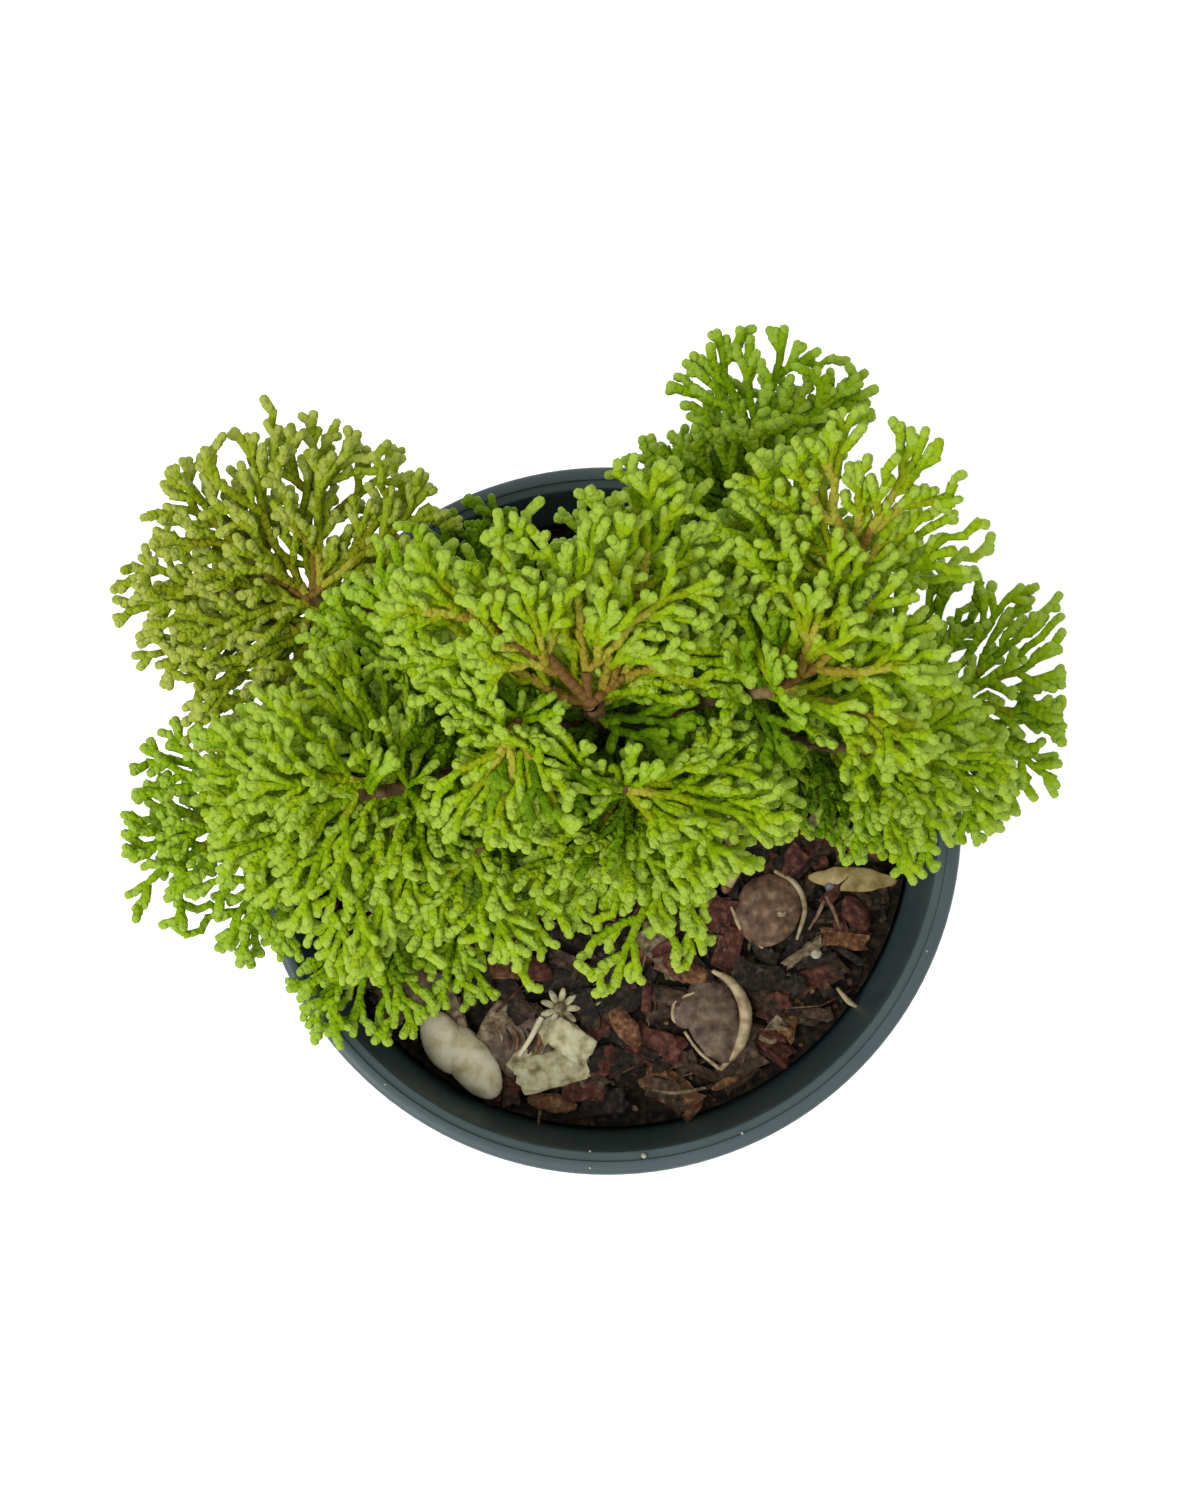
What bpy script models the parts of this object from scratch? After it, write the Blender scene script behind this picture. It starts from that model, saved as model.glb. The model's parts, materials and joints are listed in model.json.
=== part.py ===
"""A dwarf cypress with flat, fan-shaped sprays, in a round plastic nursery pot.

Lengths are metres and +Z is up. The origin is the middle of the pot's flat underside, and +Y is
the back of the plant. The pot is turned from its profile. A short trunk leans out of the growing
medium and carries curved boughs, and each bough carries foliage: one uneven, lobed pad for each
fan of sprays, cut round the wood and round its neighbours so that a thin gap is left.
"""

import math

import bmesh
import bpy
from mathutils import Matrix, Vector, noise

MM = 0.001
CLEARANCE = 0.3 * MM
MOST_CORNER_GROWTH = 1.6
SHARP_EDGE = math.radians(50)

# The pot: its mouth is 130 mm across, its height 115 mm.
POT_HEIGHT = 115 * MM
POT_MOUTH_RADIUS = 65 * MM
POT_FOOT_RADIUS = 49 * MM
POT_WALL = 1.4 * MM
POT_BASE = 2 * MM
RIM_LEDGE = 4.4 * MM
RIM_SKIRT = 10 * MM
RIM_ROUNDING = 1.2 * MM
POT_SEGMENTS = 36
DRAIN_HOLES = 8
DRAIN_RADIUS = 4 * MM
DRAIN_CIRCLE = 37 * MM

# The growing medium and the loose mulch on it.
MEDIUM_TOP = 99 * MM
MEDIUM_EDGE_DROP = 3 * MM
MEDIUM_RELIEF = 1.6 * MM
MEDIUM_RINGS = 5

# The trunk, from its flat cut on the medium to the tip of its leader, in millimetres.
TRUNK_ROUTE = ((7, 12, 99.3), (7, 12, 102), (6.5, 12.5, 108), (5, 13.5, 122), (3, 13.5, 142),
               (0.5, 13, 162), (-2, 12.5, 178), (-3, 13, 187))
TRUNK_RADII = (6.4, 4.9, 4.0, 3.5, 3.0, 2.4, 1.8, 1.2)
TRUNK_SIDES = 10
TRUNK_SEAT = 11 * MM

BOUGH_SIDES = 6
BOUGH_RINGS = 6
LIMB_FLUTES = 3
LIMB_FLUTE_DEPTH = 0.12

# Each bough: the height at which it leaves the trunk, the points that it passes through, and its
# radius where it starts and where it ends, all in millimetres.
BOUGHS = {
    "bough_left_back": (124, ((-20, 23, 138), (-37, 31, 147), (-50, 34, 154)), 2.3, 1.0),
    "bough_left": (134, ((-14, 9, 152), (-28, 3, 163), (-40, 0, 172)), 2.2, 1.0),
    "bough_mid_left": (146, ((-10, 15, 156), (-19, 16, 163), (-26, 17, 168)), 1.6, 0.8),
    "bough_left_low": (114, ((-18, 8, 122), (-38, 2, 131), (-53, 0, 137)), 2.0, 0.9),
    "bough_front_left": (110, ((-10, -2, 117), (-27, -13, 121), (-42, -20, 124)), 1.8, 0.8),
    "bough_front": (140, ((-6, 4, 153), (-15, -4, 161), (-22, -9, 167)), 1.9, 0.9),
    "bough_centre_front": (150, ((3, 7, 162), (4, 1, 172), (3, 0, 181)), 1.8, 0.9),
    "bough_centre_left": (164, ((-7, 11, 174), (-11, 11, 181), (-14, 10, 187)), 1.4, 0.8),
    "bough_right": (130, ((20, 14, 144), (31, 10, 155), (39, 8, 165)), 2.0, 0.9),
    "bough_right_low": (116, ((24, 14, 126), (42, 17, 137), (57, 18, 147)), 2.1, 0.9),
    "bough_right_mid": (152, ((10, 14, 167), (18, 15, 179), (26, 15, 187)), 1.7, 0.9),
    "bough_right_back": (138, ((13, 21, 156), (25, 27, 173), (36, 30, 188)), 2.1, 1.0),
    "bough_back": (120, ((13, 28, 136), (20, 41, 151), (25, 51, 163)), 2.2, 0.9),
    "bough_back_left": (112, ((-6, 25, 116), (-16, 35, 120), (-25, 41, 123)), 1.6, 0.8),
}

# Each pad of foliage: the limb that it grows on and how far along it, the way its middle points
# (heading from +X, pitch above level, roll about its own middle, in degrees), its reach in
# millimetres, half its spread in degrees, how far its far edge curls up as a share of its reach,
# and its thickness in millimetres. Earlier pads keep their shape where two of them meet.
FOLIAGE = {
    "foliage_centre_crown": ("trunk", 1.0, 96, 22, 0, 37, 80, 0.08, 15),
    "foliage_right_back_crown": ("bough_right_back", 1.0, 84, 26, 5, 31, 70, 0.08, 14),
    "foliage_right_mid_fan": ("bough_right_mid", 1.0, 45, 12, -12, 26, 82, 0.06, 13),
    "foliage_centre_edge_spray": ("bough_centre_front", 0.8, 150, 6, -66, 36, 26, -0.10, 10),
    "foliage_centre_right_fan": ("bough_centre_front", 1.0, -28, 4, -16, 25, 62, -0.10, 13),
    "foliage_centre_front_spray": ("bough_centre_left", 1.0, -100, -14, 10, 20, 42, -0.10, 11),
    "foliage_left_dome": ("bough_left", 1.0, 196, 6, -8, 27, 66, -0.20, 16),
    "foliage_left_dome_top": ("bough_left", 0.85, 132, 30, 18, 24, 66, -0.10, 14),
    "foliage_left_dome_front": ("bough_left", 0.78, 244, 0, 6, 29, 38, -0.18, 14),
    "foliage_mid_left_spray": ("bough_mid_left", 1.0, 116, 18, -10, 25, 62, -0.04, 13),
    "foliage_front_left_fan": ("bough_front", 1.0, -106, -10, 8, 21, 68, -0.14, 13),
    "foliage_front_fan": ("bough_centre_front", 0.5, -90, -12, -8, 33, 34, -0.12, 12),
    "foliage_left_back_fan": ("bough_left_back", 1.0, 122, 14, 6, 31, 80, 0.04, 13),
    "foliage_left_back_under": ("bough_left_back", 0.86, 196, -4, -6, 37, 38, -0.06, 11),
    "foliage_left_low_fan": ("bough_left_low", 1.0, 198, 0, -8, 30, 70, -0.06, 12),
    "foliage_back_fan": ("bough_back", 1.0, 90, 8, 4, 26, 42, 0.04, 14),
    "foliage_back_sprig": ("bough_back", 0.84, 138, 10, 0, 25, 18, 0.04, 7),
    "foliage_back_mid_fan": ("bough_back", 0.5, 108, 20, 10, 28, 52, 0.02, 14),
    "foliage_right_fan": ("bough_right", 1.0, -28, -2, -10, 25, 66, -0.12, 14),
    "foliage_right_front_fan": ("bough_right", 0.62, -82, -8, 4, 22, 48, -0.12, 12),
    "foliage_right_low_fan": ("bough_right_low", 1.0, 2, 4, 8, 23, 72, -0.05, 12),
    "foliage_front_left_sprig": ("bough_front_left", 1.0, -102, -6, 0, 19, 42, -0.08, 9),
    "foliage_front_low_sprig": ("bough_front_left", 0.6, -108, -8, 0, 23, 36, -0.06, 8),
    "foliage_right_front_sprig": ("bough_right_low", 0.42, -78, -12, 0, 24, 46, -0.06, 8),
    "foliage_right_low_sprig": ("bough_right_low", 0.78, -68, -14, 4, 26, 34, -0.06, 8),
    "foliage_back_left_sprig": ("bough_back_left", 1.0, 106, 4, 0, 17, 60, 0.02, 10),
    "foliage_inner_back_fill": ("trunk", 0.72, 82, 4, 0, 27, 62, -0.06, 14),
    "foliage_inner_right_fill": ("bough_right", 0.4, 14, 2, 0, 28, 52, -0.06, 14),
    "foliage_back_right_fill": ("bough_right_back", 0.45, 58, 0, 0, 29, 54, -0.06, 14),
    "foliage_left_mid_fill": ("bough_left_low", 0.5, 150, 12, 0, 27, 50, -0.06, 13),
    "foliage_back_low_fill": ("bough_back", 0.32, 66, -4, 0, 30, 56, -0.06, 13),
    "foliage_back_left_fill": ("bough_back_left", 0.55, 150, 12, 0, 28, 46, -0.06, 13),
    "foliage_front_low_fill": ("bough_front_left", 0.22, -48, 4, 0, 20, 52, -0.06, 11),
    "foliage_front_mid_fill": ("bough_front", 0.25, -150, -6, 0, 27, 50, -0.06, 13),
}
PAD_RINGS = 3
PAD_SPOKES = 6
PAD_NECK = 1.6 * MM
PAD_EDGE = 1.5 * MM
PAD_LOBES = 0.13
PAD_SHOULDER = 0.18
PAD_RELIEF = 1.3 * MM
PAD_ABOVE = 0.4

# Four large pieces of the mulch: middle, heading, half length, half width and half height in
# millimetres and degrees, and how hollow the upper side is.
MULCH = {
    "mulch_pale_shell": ((-28.0, -43.5, 100.2), -48, 8.6, 5.8, 3.4, 0.0),
    "mulch_pale_pod": ((-12.0, -41.5, 100.6), 62, 8.8, 6.6, 3.6, 0.25),
    "mulch_half_pod": ((18.5, -38.0, 100.2), 20, 9.4, 8.6, 3.6, 0.55),
    "mulch_brown_shell": ((31.0, -18.5, 100.4), 70, 8.6, 7.6, 3.2, 0.35),
}


def clear_scene():
    for obj in list(bpy.data.objects):
        bpy.data.objects.remove(obj)


def plain_material(name, colour, roughness):
    """A Principled material without metal, as everything here is plastic or plant."""
    material = bpy.data.materials.new(name)
    material.use_nodes = True
    shader = material.node_tree.nodes["Principled BSDF"]
    shader.inputs["Base Color"].default_value = (*colour, 1)
    shader.inputs["Roughness"].default_value = roughness
    shader.inputs["Metallic"].default_value = 0
    material.diffuse_color = (*colour, 1)
    return material


def new_object(name, form, material):
    """Links a mesh object that is made from a finished bmesh, with its normals outwards."""
    bmesh.ops.recalc_face_normals(form, faces=form.faces)
    mesh = bpy.data.meshes.new(name)
    form.to_mesh(mesh)
    form.free()
    mesh.shade_smooth()
    mesh.set_sharp_from_angle(angle=SHARP_EDGE)
    obj = bpy.data.objects.new(name, mesh)
    obj.data.materials.append(material)
    bpy.context.scene.collection.objects.link(obj)
    return obj


def grown_copy(obj, by):
    """A hidden cutter: the object's shape with every face moved outwards by the clearance."""
    form = bmesh.new()
    form.from_mesh(obj.data)
    for vertex in form.verts:
        vertex.co += vertex.normal * min(vertex.calc_shell_factor(), MOST_CORNER_GROWTH) * by
    cutter = new_object(f"clearance_{obj.name}", form, obj.data.materials[0])
    cutter.hide_render = True
    cutter.display_type = "WIRE"
    return cutter


def boxes_meet(first, second):
    """Whether the two objects' bounding boxes overlap."""
    low_a, high_a = corners(first)
    low_b, high_b = corners(second)
    return all(low_a[i] < high_b[i] and low_b[i] < high_a[i] for i in range(3))


def corners(obj):
    points = [vertex.co for vertex in obj.data.vertices]
    low = [min(point[i] for point in points) for i in range(3)]
    high = [max(point[i] for point in points) for i in range(3)]
    return low, high


def keep_largest_body(form):
    """Deletes the loose crumbs that a cut has left beside the main body."""
    bodies = []
    unseen = set(form.verts)
    while unseen:
        body = set()
        front = [unseen.pop()]
        while front:
            vertex = front.pop()
            body.add(vertex)
            near = {edge.other_vert(vertex) for edge in vertex.link_edges} & unseen
            unseen -= near
            front.extend(near)
        bodies.append(body)
    bodies.sort(key=body_size, reverse=True)
    crumbs = [vertex for body in bodies[1:] for vertex in body]
    bmesh.ops.delete(form, geom=crumbs, context="VERTS")


def body_size(body):
    spans = [max(v.co[i] for v in body) - min(v.co[i] for v in body) for i in range(3)]
    return spans[0] * spans[1] * spans[2]


def cut_round(obj, cutters):
    """Cuts the object round each grown copy that it reaches into, and keeps the main body."""
    for cutter in cutters:
        if boxes_meet(obj, cutter):
            cut = obj.modifiers.new(cutter.name, "BOOLEAN")
            cut.operation = "DIFFERENCE"
            cut.solver = "MANIFOLD"
            cut.object = cutter
    graph = bpy.context.evaluated_depsgraph_get()
    form = bmesh.new()
    form.from_object(obj, graph)
    obj.modifiers.clear()
    keep_largest_body(form)
    bmesh.ops.triangulate(form, faces=form.faces)
    form.to_mesh(obj.data)
    form.free()


def pot_profile():
    """Radius and height round the wall's section: up the outside, over the rim, down inside."""
    outer_top = POT_MOUTH_RADIUS - RIM_LEDGE + POT_WALL
    inner_top = POT_MOUTH_RADIUS - RIM_LEDGE
    inner_foot = POT_FOOT_RADIUS - POT_WALL
    skirt_out = POT_MOUTH_RADIUS - 0.6 * MM
    skirt_in = skirt_out - POT_WALL
    under_ledge = POT_HEIGHT - POT_WALL
    points = [
        (0, 0),
        (POT_FOOT_RADIUS - 1.5 * MM, 0),
        (POT_FOOT_RADIUS, 1.5 * MM),
        (outer_top, under_ledge),
        (skirt_in, under_ledge),
        (skirt_in, POT_HEIGHT - RIM_SKIRT),
        (skirt_out, POT_HEIGHT - RIM_SKIRT),
    ]
    for step in range(3):
        turn = math.radians(45 * step)
        points.append((
            POT_MOUTH_RADIUS - RIM_ROUNDING * (1 - math.cos(turn)),
            POT_HEIGHT - RIM_ROUNDING * (1 - math.sin(turn)),
        ))
    points += [
        (inner_top + 0.5 * MM, POT_HEIGHT),
        (inner_top, POT_HEIGHT - 0.5 * MM),
        (inner_foot, POT_BASE + 1.5 * MM),
        (inner_foot - 1.5 * MM, POT_BASE),
        (0, POT_BASE),
    ]
    return points


def inner_radius(height):
    """The pot's inside radius at a height above its underside."""
    share = (height - POT_BASE) / (POT_HEIGHT - POT_BASE)
    foot = POT_FOOT_RADIUS - POT_WALL
    return foot + share * (POT_MOUTH_RADIUS - RIM_LEDGE - foot)


def make_pot(material):
    form = bmesh.new()
    outline = [form.verts.new((radius, 0, height)) for radius, height in pot_profile()]
    edges = [form.edges.new(pair) for pair in zip(outline, outline[1:])]
    bmesh.ops.spin(
        form,
        geom=outline + edges,
        cent=(0, 0, 0),
        axis=(0, 0, 1),
        angle=math.tau,
        steps=POT_SEGMENTS,
        use_duplicate=False,
    )
    bmesh.ops.remove_doubles(form, verts=form.verts, dist=0.01 * MM)
    pot = new_object("pot", form, material)
    for index in range(DRAIN_HOLES):
        turn = math.tau * (index + 0.5) / DRAIN_HOLES
        drill = bmesh.new()
        place = Matrix.Translation((
            DRAIN_CIRCLE * math.cos(turn),
            DRAIN_CIRCLE * math.sin(turn),
            POT_BASE / 2,
        ))
        bmesh.ops.create_cone(
            drill,
            cap_ends=True,
            segments=12,
            radius1=DRAIN_RADIUS,
            radius2=DRAIN_RADIUS,
            depth=3 * POT_BASE,
            matrix=place,
        )
        cutter = new_object(f"drill_{index + 1}", drill, material)
        cutter.hide_render = True
        cutter.display_type = "WIRE"
        hole = pot.modifiers.new(cutter.name, "BOOLEAN")
        hole.operation = "DIFFERENCE"
        hole.object = cutter
    return pot


def medium_height(x, y):
    """The uneven top of the medium: level under the trunk, lower along the wall."""
    from_middle = math.hypot(x, y) / inner_radius(MEDIUM_TOP)
    bumps = noise.noise(Vector((x, y, 0)) / (9 * MM)) * MEDIUM_RELIEF
    from_trunk = math.hypot(x - TRUNK_ROUTE[0][0] * MM, y - TRUNK_ROUTE[0][1] * MM)
    away = min(max((from_trunk - TRUNK_SEAT) / (6 * MM), 0), 1)
    return MEDIUM_TOP + away * (bumps - MEDIUM_EDGE_DROP * from_middle ** 4)


def make_medium(material):
    """Turned to the inside of the pot, with the trunk's foot in the middle of its top rings."""
    form = bmesh.new()
    rings = []
    for height in (POT_BASE + CLEARANCE, POT_BASE + CLEARANCE + 1.5 * MM, 50 * MM):
        corner = 1.6 * MM if not rings else 0
        radius = inner_radius(height) - corner - 1.5 * CLEARANCE
        rings.append([
            form.verts.new((radius * math.cos(turn), radius * math.sin(turn), height))
            for turn in spoke_angles()
        ])
    edge = inner_radius(MEDIUM_TOP - MEDIUM_EDGE_DROP) - 2 * CLEARANCE - MEDIUM_RELIEF * 0.1
    for step in range(MEDIUM_RINGS):
        share = 1 - step / MEDIUM_RINGS
        ring = []
        for turn in spoke_angles():
            x = edge * share * math.cos(turn) + TRUNK_ROUTE[0][0] * MM * (1 - share)
            y = edge * share * math.sin(turn) + TRUNK_ROUTE[0][1] * MM * (1 - share)
            ring.append(form.verts.new((x, y, medium_height(x, y))))
        rings.append(ring)
    for lower, upper in zip(rings, rings[1:]):
        for index in range(POT_SEGMENTS):
            after = (index + 1) % POT_SEGMENTS
            form.faces.new((lower[index], lower[after], upper[after], upper[index]))
    form.faces.new(reversed(rings[0]))
    form.faces.new(rings[-1])
    return new_object("growing_medium", form, material)


def spoke_angles():
    return [math.tau * index / POT_SEGMENTS for index in range(POT_SEGMENTS)]


def smooth_route(points, count):
    """Count points, evenly by parameter, on the smooth curve through the given ones."""
    points = [Vector(point) for point in points]
    ends = [2 * points[0] - points[1], *points, 2 * points[-1] - points[-2]]
    route = []
    for index in range(count):
        place = index / (count - 1) * (len(points) - 1)
        start = min(int(place), len(points) - 2)
        t = place - start
        a, b, c, d = ends[start:start + 4]
        route.append(
            0.5 * (2 * b + (c - a) * t + (2 * a - 5 * b + 4 * c - d) * t ** 2
                   + (3 * b - a - 3 * c + d) * t ** 3)
        )
    return route


def make_limb(name, route, radii, sides, material, level_start=False):
    """A tapering limb: rings set square to the route, bridged and closed at both ends."""
    form = bmesh.new()
    rings = []
    side = Vector((0, 0, 1)).cross(route[-1] - route[0])
    if side.length < 0.3 * (route[-1] - route[0]).length:
        side = Vector((1, 0, 0))
    for index, (centre, radius) in enumerate(zip(route, radii)):
        ahead = route[min(index + 1, len(route) - 1)] - route[max(index - 1, 0)]
        if level_start and index < 2:
            ahead = Vector((0, 0, 1))
        ahead.normalize()
        side = (side - ahead * side.dot(ahead)).normalized()
        up = ahead.cross(side)
        ring = []
        for corner in range(sides):
            turn = math.tau * corner / sides
            wave = math.cos(LIMB_FLUTES * turn + 0.7 * index)
            flute = 1 + LIMB_FLUTE_DEPTH * wave * radius / max(radii)
            ring.append(form.verts.new(
                centre + (side * math.cos(turn) + up * math.sin(turn)) * radius * flute
            ))
        rings.append(ring)
    for lower, upper in zip(rings, rings[1:]):
        for corner in range(sides):
            after = (corner + 1) % sides
            form.faces.new((lower[corner], lower[after], upper[after], upper[corner]))
    form.faces.new(reversed(rings[0]))
    form.faces.new(rings[-1])
    return new_object(name, form, material)


def trunk_axis(height):
    """The point of the trunk's axis at a height in millimetres."""
    for low, high in zip(TRUNK_ROUTE, TRUNK_ROUTE[1:]):
        if low[2] <= height <= high[2]:
            share = (height - low[2]) / (high[2] - low[2])
            return tuple(low[i] + share * (high[i] - low[i]) for i in range(3))
    return TRUNK_ROUTE[-1]


def make_trunk(material):
    route = [Vector(point) * MM for point in TRUNK_ROUTE]
    radii = [radius * MM for radius in TRUNK_RADII]
    return route, make_limb("trunk", route, radii, TRUNK_SIDES, material, level_start=True)


def make_bough(name, material):
    start, through, radius_start, radius_end = BOUGHS[name]
    points = [Vector(point) * MM for point in (trunk_axis(start), *through)]
    route = smooth_route(points, BOUGH_RINGS)
    radii = [
        (radius_start + (radius_end - radius_start) * index / (BOUGH_RINGS - 1)) * MM
        for index in range(BOUGH_RINGS)
    ]
    return route, make_limb(name, route, radii, BOUGH_SIDES, material)


def point_along(route, share):
    """The point at a share of the way along a route of evenly spread points."""
    place = share * (len(route) - 1)
    start = min(int(place), len(route) - 2)
    return route[start].lerp(route[start + 1], place - start)


def pad_frame(heading, pitch, roll):
    """The pad's own axes as columns: along its middle, across it and out of its upper side."""
    return (
        Matrix.Rotation(math.radians(heading), 3, "Z")
        @ Matrix.Rotation(-math.radians(pitch), 3, "Y")
        @ Matrix.Rotation(math.radians(roll), 3, "X")
    )


def make_pad(name, routes, material):
    """A lobed fan: two uneven sheets over a polar grid, joined round the edge."""
    limb, share, heading, pitch, roll, reach, spread, curl, thickness = FOLIAGE[name]
    foot = point_along(routes[limb], share)
    axes = pad_frame(heading, pitch, roll)
    seed = Vector((list(FOLIAGE).index(name) * 7.3, 2.1, 5.7))
    form = bmesh.new()
    sheets = {1: [], -1: []}
    for ring in range(PAD_RINGS + 1):
        out = ring / PAD_RINGS
        for way in sheets:
            sheets[way].append([])
        for spoke in range(PAD_SPOKES + 1):
            across = 2 * spoke / PAD_SPOKES - 1
            turn = math.radians(spread) * across
            lobes = noise.noise(seed + Vector((turn * 2.4, 0, 0))) * 1.6
            lobes += 0.5 * math.cos(math.pi * spoke) - 0.5
            edge = reach * MM * (1 - PAD_SHOULDER * across ** 2) * (1 + PAD_LOBES * lobes)
            radius = PAD_NECK + (edge - PAD_NECK) * out
            flat = axes @ Vector((radius * math.cos(turn), radius * math.sin(turn), 0))
            lift = curl * reach * MM * (radius / (reach * MM)) ** 2
            relief = noise.noise(seed + flat / (8 * MM)) * PAD_RELIEF * out
            swell = (1 - out ** 3) * (1 - 0.6 * across ** 4)
            depth = PAD_EDGE + (thickness * MM - PAD_EDGE) * swell * min(3 * out, 1)
            for way, rows in sheets.items():
                share_of_depth = PAD_ABOVE if way == 1 else PAD_ABOVE - 1
                up = axes @ Vector((0, 0, lift + relief + share_of_depth * depth))
                rows[-1].append(form.verts.new(foot + flat + up))
    for way, rows in sheets.items():
        for inner, outer in zip(rows, rows[1:]):
            for spoke in range(PAD_SPOKES):
                quad = (inner[spoke], outer[spoke], outer[spoke + 1], inner[spoke + 1])
                form.faces.new(quad if way == 1 else reversed(quad))
    upper = border(sheets[1])
    lower = border(sheets[-1])
    for index in range(len(upper)):
        after = (index + 1) % len(upper)
        form.faces.new((upper[index], lower[index], lower[after], upper[after]))
    return new_object(name, form, material)


def border(rows):
    """The grid's outer vertices, once round."""
    right = [row[-1] for row in rows[1:-1]]
    left = [row[0] for row in rows[1:-1]]
    return rows[0] + right + rows[-1][::-1] + left[::-1]


def make_mulch_piece(name, material):
    """A shell or half pod: a flattened ball, dished on its upper side."""
    middle, heading, half_length, half_width, half_height, hollow = MULCH[name]
    form = bmesh.new()
    bmesh.ops.create_uvsphere(form, u_segments=12, v_segments=6, radius=1)
    for vertex in form.verts:
        out = math.hypot(vertex.co.x, vertex.co.y)
        bump = 1 + 0.08 * noise.noise(vertex.co * 1.7 + Vector(middle))
        if vertex.co.z > 0:
            vertex.co.z -= 2 * hollow * (1 - out ** 2) * vertex.co.z
        vertex.co = Vector((
            vertex.co.x * half_length * bump,
            vertex.co.y * half_width * bump,
            vertex.co.z * half_height,
        )) * MM
    place = Matrix.Translation(Vector(middle) * MM)
    form.transform(place @ Matrix.Rotation(math.radians(heading), 4, "Z"))
    return new_object(name, form, material)


def build():
    clear_scene()
    plastic = plain_material("slate green plastic", (0.055, 0.085, 0.095), 0.45)
    soil = plain_material("bark and soil", (0.05, 0.025, 0.015), 0.95)
    husk = plain_material("dry husk", (0.38, 0.30, 0.20), 0.8)
    bark = plain_material("red-brown bark", (0.20, 0.09, 0.05), 0.85)
    leaves = plain_material("yellow-green scale leaves", (0.25, 0.46, 0.05), 0.6)

    make_pot(plastic)
    medium = make_medium(soil)
    pieces = [make_mulch_piece(name, husk) for name in MULCH]
    cut_round(medium, [grown_copy(piece, CLEARANCE) for piece in pieces])

    routes = {}
    routes["trunk"], trunk = make_trunk(bark)
    wood = [grown_copy(trunk, CLEARANCE)]
    for name in BOUGHS:
        routes[name], bough = make_bough(name, bark)
        cut_round(bough, wood)
        wood.append(grown_copy(bough, CLEARANCE))

    grown = []
    for name in FOLIAGE:
        pad = make_pad(name, routes, leaves)
        cut_round(pad, wood + grown)
        grown.append(grown_copy(pad, CLEARANCE))


build()
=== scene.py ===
# %% [markdown]
# # A dwarf conifer in a plastic nursery pot
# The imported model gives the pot, the trunk, the boughs and the masses of foliage at their real
# size. This script keeps that frame and puts the looks on it. The plant is grown: every mass of
# foliage is replaced by flat sprays of scale-leaved shoots, which fork by a seeded rule and start
# on the same boughs as the mass that they stand for.

# %% Load the frame
import json
import math
import random

import bpy
import numpy as np
from mathutils import Matrix, Vector
from mathutils.bvhtree import BVHTree

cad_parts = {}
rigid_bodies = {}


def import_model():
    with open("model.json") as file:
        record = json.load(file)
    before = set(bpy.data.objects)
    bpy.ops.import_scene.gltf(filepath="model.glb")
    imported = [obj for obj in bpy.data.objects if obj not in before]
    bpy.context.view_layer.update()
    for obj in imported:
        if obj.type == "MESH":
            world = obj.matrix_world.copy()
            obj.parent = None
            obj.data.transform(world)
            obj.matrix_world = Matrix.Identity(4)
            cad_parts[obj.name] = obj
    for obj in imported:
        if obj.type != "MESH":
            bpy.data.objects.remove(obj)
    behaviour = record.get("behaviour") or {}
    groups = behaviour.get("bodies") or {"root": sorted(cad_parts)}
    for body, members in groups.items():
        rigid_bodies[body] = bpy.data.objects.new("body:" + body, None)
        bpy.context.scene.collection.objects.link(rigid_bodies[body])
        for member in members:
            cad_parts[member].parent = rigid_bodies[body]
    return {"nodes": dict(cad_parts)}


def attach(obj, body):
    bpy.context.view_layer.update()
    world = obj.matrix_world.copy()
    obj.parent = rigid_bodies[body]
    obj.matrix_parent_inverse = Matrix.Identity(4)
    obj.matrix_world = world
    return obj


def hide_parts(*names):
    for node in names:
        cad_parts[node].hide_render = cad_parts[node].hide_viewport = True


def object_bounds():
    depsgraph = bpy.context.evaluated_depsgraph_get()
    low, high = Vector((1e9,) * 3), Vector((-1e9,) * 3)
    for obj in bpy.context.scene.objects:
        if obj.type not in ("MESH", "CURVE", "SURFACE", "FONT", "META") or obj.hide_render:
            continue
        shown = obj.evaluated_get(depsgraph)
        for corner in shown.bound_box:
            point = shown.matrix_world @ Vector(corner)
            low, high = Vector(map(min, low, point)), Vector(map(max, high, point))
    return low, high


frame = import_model()
cad_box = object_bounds()
MM = 0.001
print("nodes in the frame:", len(frame["nodes"]))

# %% [markdown]
# ## Camera, floor and light
# The picture looks almost straight down into the pot from about half a metre, so the nearest
# tips are drawn larger than the rim. The floor is plain and pale, and the light is what a white
# studio gives: a bright surround and one wide lamp, which leaves soft shade under the sprays.

# %% The camera
CAMERA_PLACE = Vector((-1.3, -26.2, 553.3)) * MM
CAMERA_TILT = math.radians(5)
LENS_MM = 57.6


def deselect_all():
    if bpy.context.mode != "OBJECT":
        bpy.ops.object.mode_set(mode="OBJECT")
    bpy.ops.object.select_all(action="DESELECT")


deselect_all()
bpy.ops.object.camera_add(location=CAMERA_PLACE, rotation=(CAMERA_TILT, 0, 0))
camera = bpy.context.object
camera.name = "camera"
camera.data.lens = LENS_MM
camera.data.clip_start = 0.01
bpy.context.scene.camera = camera
bpy.context.scene.view_settings.view_transform = "Standard"
print("camera at", [round(value, 3) for value in camera.location])

# %% The surround and the lamps
SURROUND_STRENGTH = 0.9
KEY_PLACE = Vector((-0.6, -0.45, 0.92))
KEY_SIZE = 0.6
KEY_WATTS = 7.5
FLOOR_COLOUR = (0.92, 0.92, 0.92)
FLOOR_GLOW = 0.32

world = bpy.data.worlds.new("studio")
bpy.context.scene.world = world
world.use_nodes = True
surround = world.node_tree.nodes["Background"]
surround.inputs["Color"].default_value = (1, 1, 1, 1)
surround.inputs["Strength"].default_value = SURROUND_STRENGTH


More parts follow.
